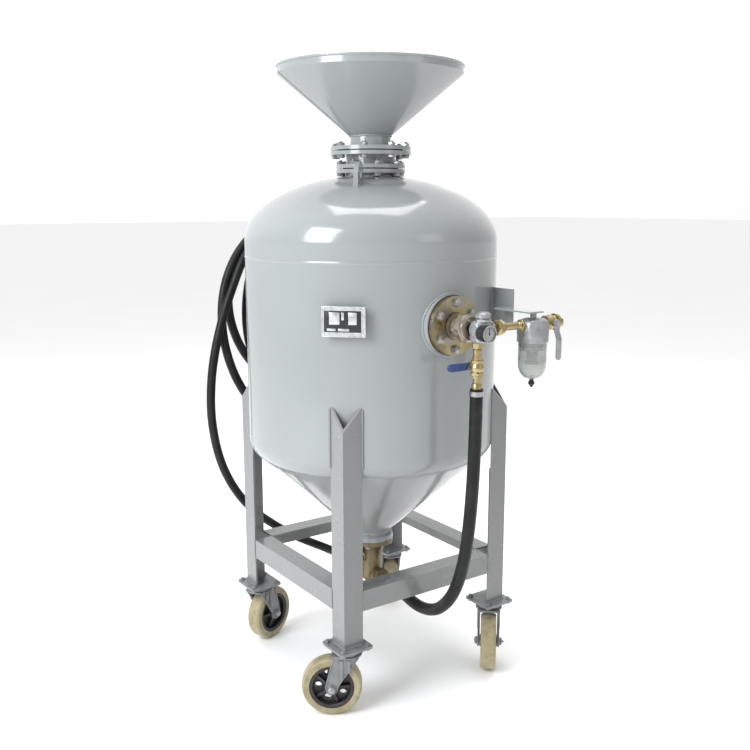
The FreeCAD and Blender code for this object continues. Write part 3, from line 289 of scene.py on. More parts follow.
BLAST_ROUTE = [
    (0, 84, 250), (-1, 140, 250), (-8, 202, 252), (-27, 264, 257), (-58, 320, 268),
    (-96, 367, 291), (-136, 396, 322), (-176, 409, 358), (-214, 412, 402), (-252, 412, 460),
    (-284, 412, 530), (-305, 412, 612), (-315, 412, 702), (-311, 412, 795), (-297, 412, 880),
    (-277, 412, 955), (-255, 412, 1020), (-228, 412, 1085), (-193, 412, 1165),
    (-140, 412, 1235), (-72, 412, 1284)]

TAIL_ROUTE = [
    (42, 462, 1290), (84, 478, 1276), (119, 496, 1246), (142, 510, 1202), (154, 517, 1146),
    (158, 519, 1080), (160, 520, 1006), (160, 521, 930)]


def route_curve(name, points, resolution):
    """Curve data with one NURBS spline whose control points are a route."""
    curve = bpy.data.curves.new(name, "CURVE")
    curve.dimensions = "3D"
    curve.resolution_u = resolution
    spline = curve.splines.new("NURBS")
    spline.points.add(len(points) - 1)
    for target, point in zip(spline.points, points):
        target.co = (*point, 1)
    spline.order_u = 3
    spline.use_endpoint_u = True
    return curve


def hose_curve(name, points, diameter):
    """A round hose along a route, as a piece that rides on the pot."""
    curve = route_curve(name, points, 8)
    curve.bevel_depth = diameter / 2
    curve.bevel_resolution = 6
    curve.use_fill_caps = True
    curve.materials.append(MATERIALS["hose_rubber"])
    hose = bpy.data.objects.new(name, curve)
    bpy.context.collection.objects.link(hose)
    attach(hose, "pot")
    return hose


def metres(points):
    return [Vector(point) * MM for point in points]


def route_length(points):
    """Length of the spline that a route makes, read from its own mesh."""
    curve = route_curve("measure", points, 16)
    probe = bpy.data.objects.new("measure", curve)
    line = bpy.data.meshes.new_from_object(probe)
    places = [vertex.co.copy() for vertex in line.vertices]
    bpy.data.objects.remove(probe)
    bpy.data.curves.remove(curve)
    bpy.data.meshes.remove(line)
    return sum((after - before).length for before, after in zip(places, places[1:]))


def coil_turns():
    """Points of the loose turns: ovals that hang on the saddle, each deeper than the last."""
    top = 1.2965
    ovals = [  # half width, half height, depth at its end, points
        (0.262, 0.3355, 0.440, 16), (0.2186, 0.272, 0.466, 15), (0.158, 0.300, 0.456, 14)]
    start_depth = 0.412
    points = []
    for index, (half_width, half_height, depth, count) in enumerate(ovals):
        for step in range(count):
            share = step / count
            angle = TURN * share
            y = start_depth + (depth - start_depth) * share
            sway = 0.010 * math.sin(2 * angle + index)
            points.append(Vector((half_width * math.sin(angle) + sway * abs(math.sin(angle)), y,
                                  top - half_height + half_height * math.cos(angle))))
        start_depth = depth
    return points


def blast_points():
    """The lead from the sand valve, the turns and the tail, as one route."""
    return metres(BLAST_ROUTE) + coil_turns() + metres(TAIL_ROUTE)


def hoses(nozzle_piece):
    """The two hoses as round curves along their routes; the nozzle piece passed in is not used."""
    points = metres(PUSHER_ROUTE)
    pusher = hose_curve("pusher_line", points, PUSHER_DIAMETER)
    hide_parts("pusher_hose")
    route_length(points)
    points = blast_points()
    blast = hose_curve("blast_line", points, BLAST_DIAMETER)
    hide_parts("blast_hose", "blast_hose_coil")
    route_length(points)


# ---------------- mesh helpers

def along(origin, direction, turn=0.0):
    """Frame at origin (mm) whose Z runs along direction, turned about it, in millimetre units."""
    spin = Vector(direction).to_track_quat("Z", "Y").to_matrix().to_4x4()
    return (Matrix.Translation(Vector(origin) * MM) @ spin @ Matrix.Rotation(turn, 4, "Z")
            @ TO_METRES)


def upright(x, y, z, turn=0.0):
    return along((x, y, z), Z_AXIS, turn)


VESSEL_AXIS = upright(0, 0, 0)


def circle(radius, height, segments):
    """Points of a circle; radius may be a function of the angle."""
    points = []
    for step in range(segments):
        angle = TURN * step / segments
        reach = radius(angle) if callable(radius) else radius
        tall = height(angle) if callable(height) else height
        points.append((reach * math.cos(angle), reach * math.sin(angle), tall))
    return points


def add_rings(bm, rings, place, closed=False):
    """Skin a list of point rings; a one-point ring makes a tip."""
    made = [[bm.verts.new(place @ Vector(point)) for point in ring] for ring in rings]
    pairs = list(zip(made, made[1:] + made[:1])) if closed else list(zip(made, made[1:]))
    for lower, upper in pairs:
        count = max(len(lower), len(upper))
        for step in range(count):
            after = (step + 1) % count
            corners = [lower[step % len(lower)], lower[after % len(lower)],
                       upper[after % len(upper)], upper[step % len(upper)]]
            corners = list(dict.fromkeys(corners))
            bm.faces.new(corners)
    if not closed:
        for ring in (made[0], made[-1]):
            if len(ring) > 2:
                bm.faces.new(ring)


def add_lathe(bm, profile, place, segments=48, closed=False):
    """Revolve (radius, height) points; a closed profile makes a ring or a bored part."""
    rings = [circle(radius, height, segments) if radius else [(0, 0, height)]
             for radius, height in profile]
    add_rings(bm, rings, place, closed)


def add_tube(bm, outer, inner, low, high, place, segments=48):
    edge = min(0.4, (high - low) / 4)
    add_lathe(bm, [(inner, low), (outer - edge, low), (outer, low + edge), (outer, high - edge),
                   (outer - edge, high), (inner, high)], place, segments, closed=True)


def add_hexagon(bm, apothem, low, high, place, bore=0.0):
    """Hexagon with its corners turned off by a thirty degree chamfer at both ends."""
    def reach(angle):
        return apothem / math.cos((angle % (TURN / 6)) - TURN / 12)

    slope = math.tan(math.radians(30))
    flat = apothem * 0.96
    segments = 48
    rings = [circle(flat, low, segments),
             circle(reach, lambda angle: low + (reach(angle) - flat) * slope, segments),
             circle(reach, lambda angle: high - (reach(angle) - flat) * slope, segments),
             circle(flat, high, segments)]
    if bore:
        rings += [circle(bore, high, segments), circle(bore, low, segments)]
    add_rings(bm, rings, place, closed=bool(bore))


def add_thread(bm, radius, low, high, place, pitch=1.75, segments=28):
    """Ridged stub that stands for a cut thread."""
    profile = [(0, low), (radius * 0.9, low)]
    height = low
    while height + pitch <= high:
        profile.append((radius, height + pitch * 0.4))
        profile.append((radius, height + pitch * 0.6))
        profile.append((radius - pitch * 0.45, height + pitch))
        height += pitch
    profile += [(radius * 0.82, high), (0, high)]
    add_lathe(bm, profile, place, segments)


def add_box(bm, low, high, place, edge=0.6):
    """Box with its twelve edges taken off."""
    fresh = bmesh.ops.create_cube(bm, size=1)["verts"]
    size = Vector(high) - Vector(low)
    centre = (Vector(high) + Vector(low)) / 2
    for vertex in fresh:
        vertex.co = place @ (Vector(a * b for a, b in zip(vertex.co, size)) + centre)
    if edge:
        edges = list(dict.fromkeys(item for vertex in fresh for item in vertex.link_edges))
        bmesh.ops.bevel(bm, geom=edges, offset=edge * MM, segments=2, profile=0.6, affect="EDGES")


def superellipse(half_width, half_depth, height, power):
    """Rounded rectangle; power 2 makes it an ellipse."""
    points = []
    segments = 64
    for step in range(segments):
        angle = TURN * step / segments
        across, deep = math.cos(angle), math.sin(angle)
        points.append((half_width * math.copysign(abs(across) ** (2 / power), across),
                       half_depth * math.copysign(abs(deep) ** (2 / power), deep), height))
    return points


def add_sweep(bm, points, radius, ripple=0.0):
    """Round bar along a path in metres; ripple gives it the scales of a weld bead."""
    pitch = 0.0032
    sides = 8
    if ripple:
        points = resampled(points, pitch / 4)
    rings = []
    travelled = 0.0
    side = None
    for index, point in enumerate(points):
        before = points[max(index - 1, 0)]
        after = points[min(index + 1, len(points) - 1)]
        heading = (after - before).normalized()
        if index:
            travelled += (point - points[index - 1]).length
        if side is None:
            side = heading.orthogonal().normalized()
        side = (side - heading * side.dot(heading)).normalized()
        other = heading.cross(side)
        swell = 1 + ripple * (abs(math.sin(math.pi * travelled / pitch)) - 0.5)
        swell *= 1 + ripple * 0.5 * noise.noise(point * 90)
        angles = [TURN * k / sides for k in range(sides)]
        rings.append([point + (side * math.cos(angle) + other * math.sin(angle)) * radius * swell
                      for angle in angles])
    add_rings(bm, rings, Matrix())


def resampled(points, step):
    """Evenly spaced points along a polyline."""
    result = [points[0]]
    for start, end in zip(points, points[1:]):
        parts = max(1, round((end - start).length / step))
        result += [start.lerp(end, (index + 1) / parts) for index in range(parts)]
    return result


def turned(place, count, start=0.0):
    """A frame turned to count even places about its own Z, in steps from start."""
    return [place @ Matrix.Rotation(TURN * (index + start) / count, 4, "Z")
            for index in range(count)]


def piece(name, bm, slot, body="pot", replaces=(), sharp=35):
    """Turn a filled bmesh into a piece of the model riding on a body."""
    bmesh.ops.recalc_face_normals(bm, faces=bm.faces)
    mesh = bpy.data.meshes.new(name)
    bm.to_mesh(mesh)
    bm.free()
    mesh.materials.append(MATERIALS[slot])
    mesh.shade_smooth()
    mesh.set_sharp_from_angle(angle=math.radians(sharp))
    made = bpy.data.objects.new(name, mesh)
    bpy.context.collection.objects.link(made)
    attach(made, body)
    if replaces:
        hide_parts(*replaces)
    return made


def polar(radius, degrees, height):
    """Point at a radius and bearing round the vessel's axis."""
    angle = math.radians(degrees)
    return Vector((radius * math.cos(angle), radius * math.sin(angle), height))


# ---------------- vessel and filler

TANK_RADIUS = 350
HEAD_BASE = 1235
HEAD_DEPTH = 175
LOW_FLANGE, HIGH_FLANGE = 1415, 1463
FLANGE_GRIP = 23
INLET_HEIGHT = 1032
COVER_FACE = 375


def dome_height(radius):
    """Height of the top head's surface at a radius, in mm."""
    return HEAD_BASE + HEAD_DEPTH * math.sqrt(1 - (radius / TANK_RADIUS) ** 2)


def shell_front(x):
    """Depth of the shell's front just under its surface's weld, at a distance to the side."""
    return -math.sqrt(TANK_RADIUS ** 2 - x ** 2) - 1


def add_bolt_set(bm, place, grip, radius=6):
    """Head and washer below the grip, washer, nut and thread end above it."""
    apothem = 1.56 * radius
    head = 1.4 * radius
    washer = 1.6
    add_hexagon(bm, apothem, -head, -washer, place)
    add_tube(bm, 1.75 * radius, 0.5 * radius, -washer, 0, place, 32)
    add_tube(bm, 1.75 * radius, 0.5 * radius, grip, grip + washer, place, 32)
    add_hexagon(bm, apothem, grip + washer, grip + head, place)
    add_thread(bm, radius * 0.96, grip + head - 1, grip + head + 3.6, place)


def flange_bolts():
    bm = bmesh.new()
    for index in range(8):
        for circle_radius, low, start in ((84, LOW_FLANGE, 22.5), (97, HIGH_FLANGE, 0)):
            spot = polar(circle_radius, 45 * index + start, low)
            add_bolt_set(bm, upright(*spot, turn=index * 0.9), FLANGE_GRIP)
    for index in range(6):
        angle = math.radians(60 * index + 30)
        spot = (59 * math.cos(angle), -COVER_FACE, INLET_HEIGHT + 59 * math.sin(angle))
        place = along(spot, -Y_AXIS, index * 0.7)
        add_tube(bm, 10.8, 5, 0, 1.6, place, 32)
        add_hexagon(bm, 9.4, 1.6, 8.4, place)
        add_lathe(bm, [(0, 9.2), (4.6, 8.9), (5.4, 8.3), (5.4, 6), (0, 6)], place, 24)
    piece("flange_hardware", bm, "bright_steel", replaces=["flange_bolts"])


def ring_points(radius, height, count=200):
    """Points round the vessel's axis, in metres; the last one closes the ring."""
    return metres(polar(radius, 360 * k / count, height) for k in range(count + 1))


def vessel_welds():
    """Beads at the neck, inlet pad, lugs, brackets, saddle, outlet and funnel."""
    bm = bmesh.new()
    neck = 71.6
    add_sweep(bm, ring_points(neck, dome_height(neck) + 1.2, 400), 0.0034, 0.25)
    pad_radius = 80
    pad = []
    for k in range(480):
        angle = TURN * k / 480
        x = pad_radius * math.cos(angle)
        pad.append((x, shell_front(x), INLET_HEIGHT + pad_radius * math.sin(angle)))
    add_sweep(bm, metres(pad + pad[:1]), 0.003, 0.22)
    for lug_turn in (-135, 45):
        for side in (-7, 7):
            sideways = polar(side, lug_turn + 90, 0)
            outward = [polar(1, lug_turn, 0) * radius for radius in range(134, 208, 4)]
            add_sweep(bm, metres((p.x + sideways.x, p.y + sideways.y, dome_height(p.length) + 1)
                                 for p in outward), 0.003, 0.25)
    for offset in (-49, 49):
        foot = -135 + math.degrees(offset / TANK_RADIUS)
        add_sweep(bm, metres(polar(351, foot, z) for z in (1019, 1080)), 0.002, 0.25)
    for x in (194.6, 201.4):
        add_sweep(bm, metres((x, shell_front(x), z) for z in (1022, 1111)), 0.0026, 0.25)
    for x in (-5.5, 5.5):
        for arm in ((1171, 1186), (1204, 1233)):
            add_sweep(bm, metres((x, 351, z) for z in arm), 0.0026, 0.25)
    add_sweep(bm, ring_points(58.5, 379.4), 0.0028, 0.22)
    add_sweep(bm, ring_points(56.6, 1514), 0.0022, 0.2)
    seam = [polar(57.5 + (252.8 - 57.5) * share / 20, 160, 1514 + 161.5 * share / 20)
            for share in range(21)]
    add_sweep(bm, metres(seam), 0.0018, 0.25)
    piece("vessel_welds", bm, "tank_paint", sharp=60)


def funnel_edge():
    """Wire that stiffens the funnel's rim."""
    bm = bmesh.new()
    add_lathe(bm, [(252.2 + 3.4 * math.cos(a), 1694.4 + 3.4 * math.sin(a))
                   for a in (TURN * k / 12 for k in range(12))],
              VESSEL_AXIS, 160, closed=True)
    piece("funnel_wire_edge", bm, "tank_paint")


def frame_welds():
    """Beads up each leg's top, round its foot and up the ends of the rails."""
    bm = bmesh.new()
    face, foot, rail_face = 275.8, 195.4, 275.4
    beads = [  # points, radius, ripple
        ([(216.5, face, 672), (216.5, face, 826)], 0.0032, 0.25),
        ([(face, 216.5, 672), (face, 216.5, 826)], 0.0032, 0.25),
        ([(219, face, foot), (face, face, foot), (face, 219, foot)], 0.0026, 0.25),
        ([(217, rail_face, 289), (217, rail_face, 342)], 0.0021, 0.22),
        ([(rail_face, 217, 289), (rail_face, 217, 342)], 0.0021, 0.22)]
    for side_x, side_y in CORNERS.values():
        for points, radius, ripple in beads:
            add_sweep(bm, metres((side_x * x, side_y * y, z) for x, y, z in points),
                      radius, ripple)
    piece("frame_welds", bm, "frame_paint", sharp=60)


def nameplate_faces():
    """Blank printed fields on the plate: dark panel, pale windows, a pale foot strip."""
    outward = Vector((-1, -1, 0)).normalized()
    across = Z_AXIS.cross(outward)
    spin = Matrix((across, Z_AXIS, outward)).transposed().to_4x4()
    place = (Matrix.Translation(outward * 0.3695 + Z_AXIS * 1.050) @ spin @ TO_METRES)
    bm = bmesh.new()
    add_box(bm, (-49, -26, 0), (44, 27, 0.5), place, 0.15)
    piece("plate_panel", bm, "black_plastic")
    bm = bmesh.new()
    for low, high in (((-36, -7, 0), (-10, 23, 0.9)), ((12, -7, 0), (33, 23, 0.9)),
                      ((-5, 4, 0), (1, 23, 0.8)), ((-42, -23, 0), (-20, -17, 0.8)),
                      ((-14, -23, 0), (14, -17, 0.8))):
        add_box(bm, low, high, place, 0.15)
    for low, high in (((-54.6, -37.6), (-52.4, 37.6)), ((52.4, -37.6), (54.6, 37.6)),
                      ((-54.6, -37.6), (54.6, -35.6)), ((-54.6, 35.6), (54.6, 37.6))):
        add_box(bm, (*low, 0), (*high, 0.8), place, 0.2)
    for x in (-50, 50):
        for y in (-33, 33):
            add_lathe(bm, [(0, 2.4), (1.6, 2.1), (2.8, 1), (3, 0), (0, 0)],
                      place @ Matrix.Translation((x, y, 0)), 20)
    piece("plate_fields", bm, "plate_steel")


# ---------------- air inlet and manifold

LINE_Y = -458


def union():
    """Hexagon union nut on its tail pieces, and the gaskets of the cover behind it."""
    place = along((0, -379, INLET_HEIGHT), -Y_AXIS)
    bm = bmesh.new()
    add_lathe(bm, [(14, 0), (21, 0), (21, 16), (23, 18), (29, 19.5), (30, 20.5), (30, 24.5),
                   (29, 26), (27, 26), (27, 50), (30.4, 50), (31, 50.8), (31, 54), (30, 55),
                   (14, 55)], place, 64, closed=True)
    add_hexagon(bm, 34, 26.8, 49.2, place, bore=26)
    for height in (2.5, 5, 7.5):
        add_tube(bm, 21.7, 20, height - 0.7, height + 0.7, place)
    piece("union_nut", bm, "zinc_union", replaces=["inlet_union"])
    bm = bmesh.new()
    place = along((0, -360, INLET_HEIGHT), -Y_AXIS)
    add_tube(bm, 76.6, 60, -0.4, 1.2, place, 96)
    add_tube(bm, 35.2, 20, 15, 16.2, place, 64)
    piece("cover_gasket", bm, "seal_rubber")


def regulator():
    """Finned casting with a hexagon bonnet, two round ports and four cover screws."""
    bm = bmesh.new()
    place = upright(14, LINE_Y, 1026)
    sections = [(24, 13, -26, 5), (27, 15.5, -23, 5), (28, 17, -19, 5), (28, 17, 19, 5),
                (27, 16, 23, 5), (23, 13, 26, 4)]
    add_rings(bm, [superellipse(w, d, z, power) for w, d, z, power in sections], place)
    for height in (-12, -4, 4, 12):
        fin = [(28.9, 17.9, -1.6), (29.4, 18.4, -0.9), (29.4, 18.4, 0.9), (28.9, 17.9, 1.6)]
        add_rings(bm, [superellipse(w, d, height + z, 5) for w, d, z in fin], place)
    top = upright(14, LINE_Y - 4, 1052)
    add_hexagon(bm, 17.4, -1, 6, top)
    add_lathe(bm, [(12.6, 5), (12.6, 8.4), (11.8, 9), (0, 9)], top, 40)
    for side in (-1, 1):
        port = along((14 + 28 * side, LINE_Y, INLET_HEIGHT), X_AXIS * side)
        add_lathe(bm, [(17, -6), (17, -0.4), (16, 0.4), (0, 0.4)], port, 48)
    for x in (-20, 20):
        for z in (-19, 19):
            add_hexagon(bm, 3.2, 14, 19.8, along((14 + x, LINE_Y, 1026 + z), -Y_AXIS))
    piece("regulator_casting", bm, "cast_aluminium", replaces=["regulator_body"])


GAUGE = (-1, -505, 1026)


def gauge():
    """Knurled gauge barrel, bezel with its pale dial, and plain tick marks."""
    face = along(GAUGE, -Y_AXIS)
    bm = bmesh.new()
    add_lathe(bm, [(9, -34), (17.5, -34), (18.6, -33), (18.6, -24), (20, -23), (20, -2),
                   (19.2, -1), (18.2, -1), (18.2, -3.6), (0, -3.6)], face, 72)
    for spin in turned(face, 36):
        add_box(bm, (19.4, -0.7, -20), (20.7, 0.7, -6), spin, 0.25)
    piece("gauge_barrel", bm, "black_plastic", replaces=["gauge_case"])
    bm = bmesh.new()
    add_lathe(bm, [(18.2, -3.4), (20.4, -3.4), (20.9, -2.6), (20.9, -0.7), (20.2, 0), (18.8, 0),
                   (18.2, -0.7)], face, 72, closed=True)
    add_lathe(bm, [(0, -3.3), (18.2, -3.3), (18.2, -2.9), (0, -2.9)], face, 60)
    piece("gauge_bezel", bm, "bright_steel")
    bm = bmesh.new()
    for index in range(28):
        spin = face @ Matrix.Rotation(math.radians(-135 + 10 * index), 4, "Z")
        inner = 13.5 if index % 3 else 11.5
        add_box(bm, (-0.3, inner, -2.95), (0.3, 16, -2.7), spin, 0)
    piece("gauge_marks", bm, "black_plastic")


def add_round_line(bm, start, direction, steps, segments=48):
    """Turned part along a line: steps of (radius, length) with small chamfers."""
    place = along(start, direction)
    height = 0.0
    profile = [(0, 0)]
    for radius, length in steps:
        edge = min(0.5, length / 4, radius / 4)
        profile += [(radius - edge, height), (radius, height + edge),
                    (radius, height + length - edge), (radius - edge, height + length)]
        height += length
    profile.append((0, height))
    add_lathe(bm, profile, place, segments)


def fittings():
    """Brass nipples: regulator to filter, filter to inlet valve, regulator to drop valve."""
    bm = bmesh.new()
    line = (LINE_Y, INLET_HEIGHT)
    place = along((42, *line), X_AXIS)
    add_round_line(bm, (42, *line), X_AXIS, [(13, 4), (10.4, 8)])
    add_hexagon(bm, 18.2, 12, 24, place)
    add_lathe(bm, [(0, 23), (15.4, 23.6), (15.4, 26.4), (0, 27)], place, 48)
    add_hexagon(bm, 16.4, 26.4, 38, place @ Matrix.Rotation(0.4, 4, "Z"))
    add_thread(bm, 10.4, 37.5, 46, place)
    add_round_line(bm, (88, *line), X_AXIS, [(9.8, 42)])
    add_thread(bm, 10.4, 88, 98, place)
    add_hexagon(bm, 13.6, 98, 106, place)
    add_hexagon(bm, 16.6, 0, 5, along((224, *line), X_AXIS))
    drop = along((0, LINE_Y, 1000), -Z_AXIS)
    add_hexagon(bm, 12.2, 0, 14, drop)
    add_round_line(bm, (0, LINE_Y, 986), -Z_AXIS, [(10, 3), (11, 25)])
    add_thread(bm, 11.2, 30, 38, drop)
    add_thread(bm, 11.2, 14, 20, drop)
    piece("brass_nipples", bm, "brass", replaces=["manifold_fittings"])


FILTER_X = 186


def air_filter():
    """Filter casting, clear bowl, the element seen through it, and the drain tap."""
    place = upright(FILTER_X, LINE_Y, 0)
    bm = bmesh.new()
    sections = [(38.2, 38.2, 986, 2), (39, 39, 987, 2), (39, 39, 998, 2), (38.4, 36, 1002, 2.6),
                (38, 31.5, 1008, 3.6), (38, 30.5, 1030, 3.6), (36.5, 29.5, 1038, 3.4),
                (32, 26.5, 1043.5, 3), (23, 20, 1047, 2.4), (12, 11, 1048, 2)]
    add_rings(bm, [superellipse(w, d, z, power) for w, d, z, power in sections], place)
    for side in (-1, 1):
        port = along((FILTER_X + 36 * side, LINE_Y, INLET_HEIGHT - 4), X_AXIS * side)
        add_lathe(bm, [(0, -6), (17.5, -6), (17.5, 1.2), (16.6, 2), (12.5, 2), (12.5, 0), (0, 0)],
                  port, 48)
    for spin in turned(place, 24):
        add_box(bm, (38.2, -1.6, 988), (40, 1.6, 997), spin, 0.4)
    piece("filter_casting", bm, "cast_aluminium", replaces=["filter_head"])

    bm = bmesh.new()
    outer = [(36, 986), (36, 932)]
    inner = [(33, 986), (33, 933)]
    for step in range(1, 11):
        angle = TURN / 4 * step / 11
        outer.append((10 + 26 * math.cos(angle), 932 - 40 * math.sin(angle)))
        inner.append((9 + 24 * math.cos(angle), 933 - 37 * math.sin(angle)))
    outer += [(10.5, 892), (8, 890), (6.3, 890)]
    inner += [(6.3, 896)]
    add_lathe(bm, outer + inner[::-1], place, 72, closed=True)
    for height in (976, 940):
        add_tube(bm, 36.7, 35.6, height, height + 2.4, place, 72)
    piece("filter_glass", bm, "clear_bowl", replaces=["filter_bowl"])

    bm = bmesh.new()
    profile = [(0, 984), (15, 984)]
    for step in range(12):
        profile += [(15.6, 982 - 4 * step), (14.2, 980 - 4 * step)]
    profile += [(15, 934), (22, 932), (22, 930), (6, 927), (0, 927)]
    add_lathe(bm, profile, place, 48)
    add_lathe(bm, [(24, 985), (29, 985), (30, 968), (28, 966), (24, 968)], place, 60, closed=True)
    for spin in turned(place, 12):
        add_box(bm, (23, -0.7, 966), (30.6, 0.7, 984), spin, 0.2)
    piece("filter_element", bm, "plate_steel")

    bm = bmesh.new()
    add_lathe(bm, [(0, 890.5), (5.6, 890.5), (5.8, 884), (7, 883.4), (7.2, 875.4), (6.4, 874.6),
                   (4, 874), (4, 869.4), (3.2, 868.8), (0, 868.8)], place, 36)
    for spin in turned(place, 16):
        add_box(bm, (6.6, -0.6, 876), (7.8, 0.6, 883), spin, 0.2)
    piece("drain_tap", bm, "black_plastic", body="drain", replaces=["drain_cock"])


def add_strip(bm, path, half_width, thick, place, round_end=True):
    """Flat bar along path points (distance, offset), rounded at its far end."""
    rings = []
    length = path[-1][0]
    for distance, offset in path:
        width = half_width
        if round_end and length - distance < half_width:
            width = math.sqrt(max(0.0, half_width ** 2 - (half_width - (length - distance)) ** 2))
        width = max(width, 0.4)
        edge = min(0.5, width / 3)
        half = thick / 2
        outline = [(-width, -half + edge), (-width + edge, -half), (width - edge, -half),
                   (width, -half + edge), (width, half - edge), (width - edge, half),
                   (-width + edge, half), (-width, half - edge)]
        rings.append([(across, deep + offset, distance) for across, deep in outline])
    add_rings(bm, rings, place)


def strip_path(start, end, bend_start, bend_end, offset, steps=40):
    """Distances from start to end whose offset eases over between the two bend places."""
    path = []
    for step in range(steps + 1):
        distance = start + (end - start) * (1 - (1 - step / steps) ** 1.6)
        share = min(1, max(0, (distance - bend_start) / (bend_end - bend_start)))
        path.append((distance, offset * share * share * (3 - 2 * share)))
    return path


def add_valve(bm, start, direction, apothem, end, middle, stem):
    """Ball valve: barrel between chamfered hexagon ends, and its packing gland along stem."""
    place = along(start, direction)
    length = 2 * end + middle
    add_hexagon(bm, apothem, 0, end, place)
    bulge = [(0.90, -0.02), (0.96, 0.10), (1.10, 0.25), (1.13, 0.5), (1.10, 0.75), (0.96, 0.9),
             (0.90, 1.02)]
    barrel = [(apothem * swell, end + middle * share) for swell, share in bulge]
    add_lathe(bm, [(0, end - 0.5)] + barrel + [(0, end + middle + 0.5)], place, 60)
    add_hexagon(bm, apothem, end + middle, length, place)
    gland = along(Vector(start) + Vector(direction) * length / 2, stem)
    add_lathe(bm, [(0, 8), (8.8, 8), (8.8, 17), (0, 17)], gland, 40)
    add_hexagon(bm, 8, 16, 23, gland)
    add_lathe(bm, [(0, 22), (5.4, 22.6), (5.4, 24.6), (0, 25)], gland, 32)


def add_lever_hub(bm, centre, stem):
    """Round hub, nut and thread end that hold a lever on its stem."""
    hub = along(Vector(centre) + Vector(stem) * 26, stem)
    add_lathe(bm, [(0, 0), (10.6, 0), (10.6, 3.4), (10, 4), (0, 4)], hub, 48)
    add_hexagon(bm, 6.2, 4, 8.4, hub)
    add_thread(bm, 3.6, 8, 10.6, hub, 1.0)


INLET_VALVE = (243, LINE_Y, INLET_HEIGHT)
DROP_VALVE = (0, LINE_Y, 938)


def inlet_valve():
    """Ball valve at the line's end, its claw coupling with a seal, and its hanging lever."""
    bm = bmesh.new()
    add_valve(bm, (229, LINE_Y, INLET_HEIGHT), X_AXIS, 17.4, 6, 16, -Y_AXIS)
    claw = along((257, LINE_Y, INLET_HEIGHT), X_AXIS)
    add_lathe(bm, [(10, 0), (14, 0), (14, 3), (18, 3.8), (21.4, 4), (22, 4.8), (22, 10), (21, 11),
                   (15, 11), (15, 12.4), (10, 12.4)], claw, 64, closed=True)
    for spin in turned(claw, 2):
        rings = []
        for height in (10.5, 15.6, 17):
            inset = 0.8 if height > 16 else 0
            rings.append([(reach * math.cos(angle), reach * math.sin(angle), height)
                          for reach, angles in ((21.6 - inset, range(-28, 29, 7)),
                                                (14.6 + inset, range(28, -29, -7)))
                          for angle in (math.radians(item) for item in angles)])
        add_rings(bm, rings, spin)
        add_box(bm, (10.5, -5, 13.6), (15.5, 5, 17), spin, 0.5)
    piece("inlet_valve_casting", bm, "brass", replaces=["inlet_valve_body"])
    bm = bmesh.new()
    add_tube(bm, 14.4, 10.2, 11, 14.6, claw)
    piece("claw_seal", bm, "seal_rubber")
    bm = bmesh.new()
    lever_plane = Matrix.Translation(Vector((INLET_VALVE[0], LINE_Y - 27.4, INLET_HEIGHT)) * MM)
    place = lever_plane @ Matrix.Rotation(math.pi, 4, "X") @ TO_METRES
    add_strip(bm, strip_path(-9, 94, 14, 44, 9), 9, 3.4, place)
    add_lever_hub(bm, INLET_VALVE, -Y_AXIS)
    piece("inlet_handle", bm, "cast_aluminium", body="inlet_lever", replaces=["inlet_valve_lever"])


def drop_valve():
    """Ball valve of the pusher line, its hose tail, and its vinyl-dipped lever."""
    bm = bmesh.new()
    add_valve(bm, (0, LINE_Y, 958), -Z_AXIS, 14.8, 9, 22, Y_AXIS)
    tail = along((0, LINE_Y, 918), -Z_AXIS)
    add_hexagon(bm, 12, 0, 6, tail)
    add_lathe(bm, [(0, 5), (9.6, 5.6), (9.6, 18), (11.6, 19), (13, 21), (13, 32), (10, 32),
                   (10, 40), (0, 40)], tail, 48)
    add_round_line(bm, (0, LINE_Y, 964), -Z_AXIS, [(12, 7)])
    piece("drop_valve_casting", bm, "brass", replaces=["drop_valve_body"])
    lever_plane = Matrix.Translation(Vector((0, LINE_Y + 27.4, DROP_VALVE[2])) * MM)
    place = lever_plane @ Matrix.Rotation(-TURN / 4, 4, "Y") @ TO_METRES
    bm = bmesh.new()
    add_strip(bm, strip_path(11, 68, 12, 24, 2), 9, 7, place)
    for distance in range(24, 58, 6):
        add_strip(bm, [(distance, 2), (distance + 2.6, 2)], 9.5, 7.8, place, False)
    piece("drop_handle", bm, "blue_vinyl", body="drop_lever", replaces=["drop_valve_lever"])
    bm = bmesh.new()
    add_strip(bm, strip_path(-9, 24, 8, 22, 2), 7.6, 3, place, False)
    add_lever_hub(bm, DROP_VALVE, Y_AXIS)
    piece("drop_handle_core", bm, "bright_steel", body="drop_lever")


# ---------------- outlet, hose ends and saddle

VALVE_Z = 250


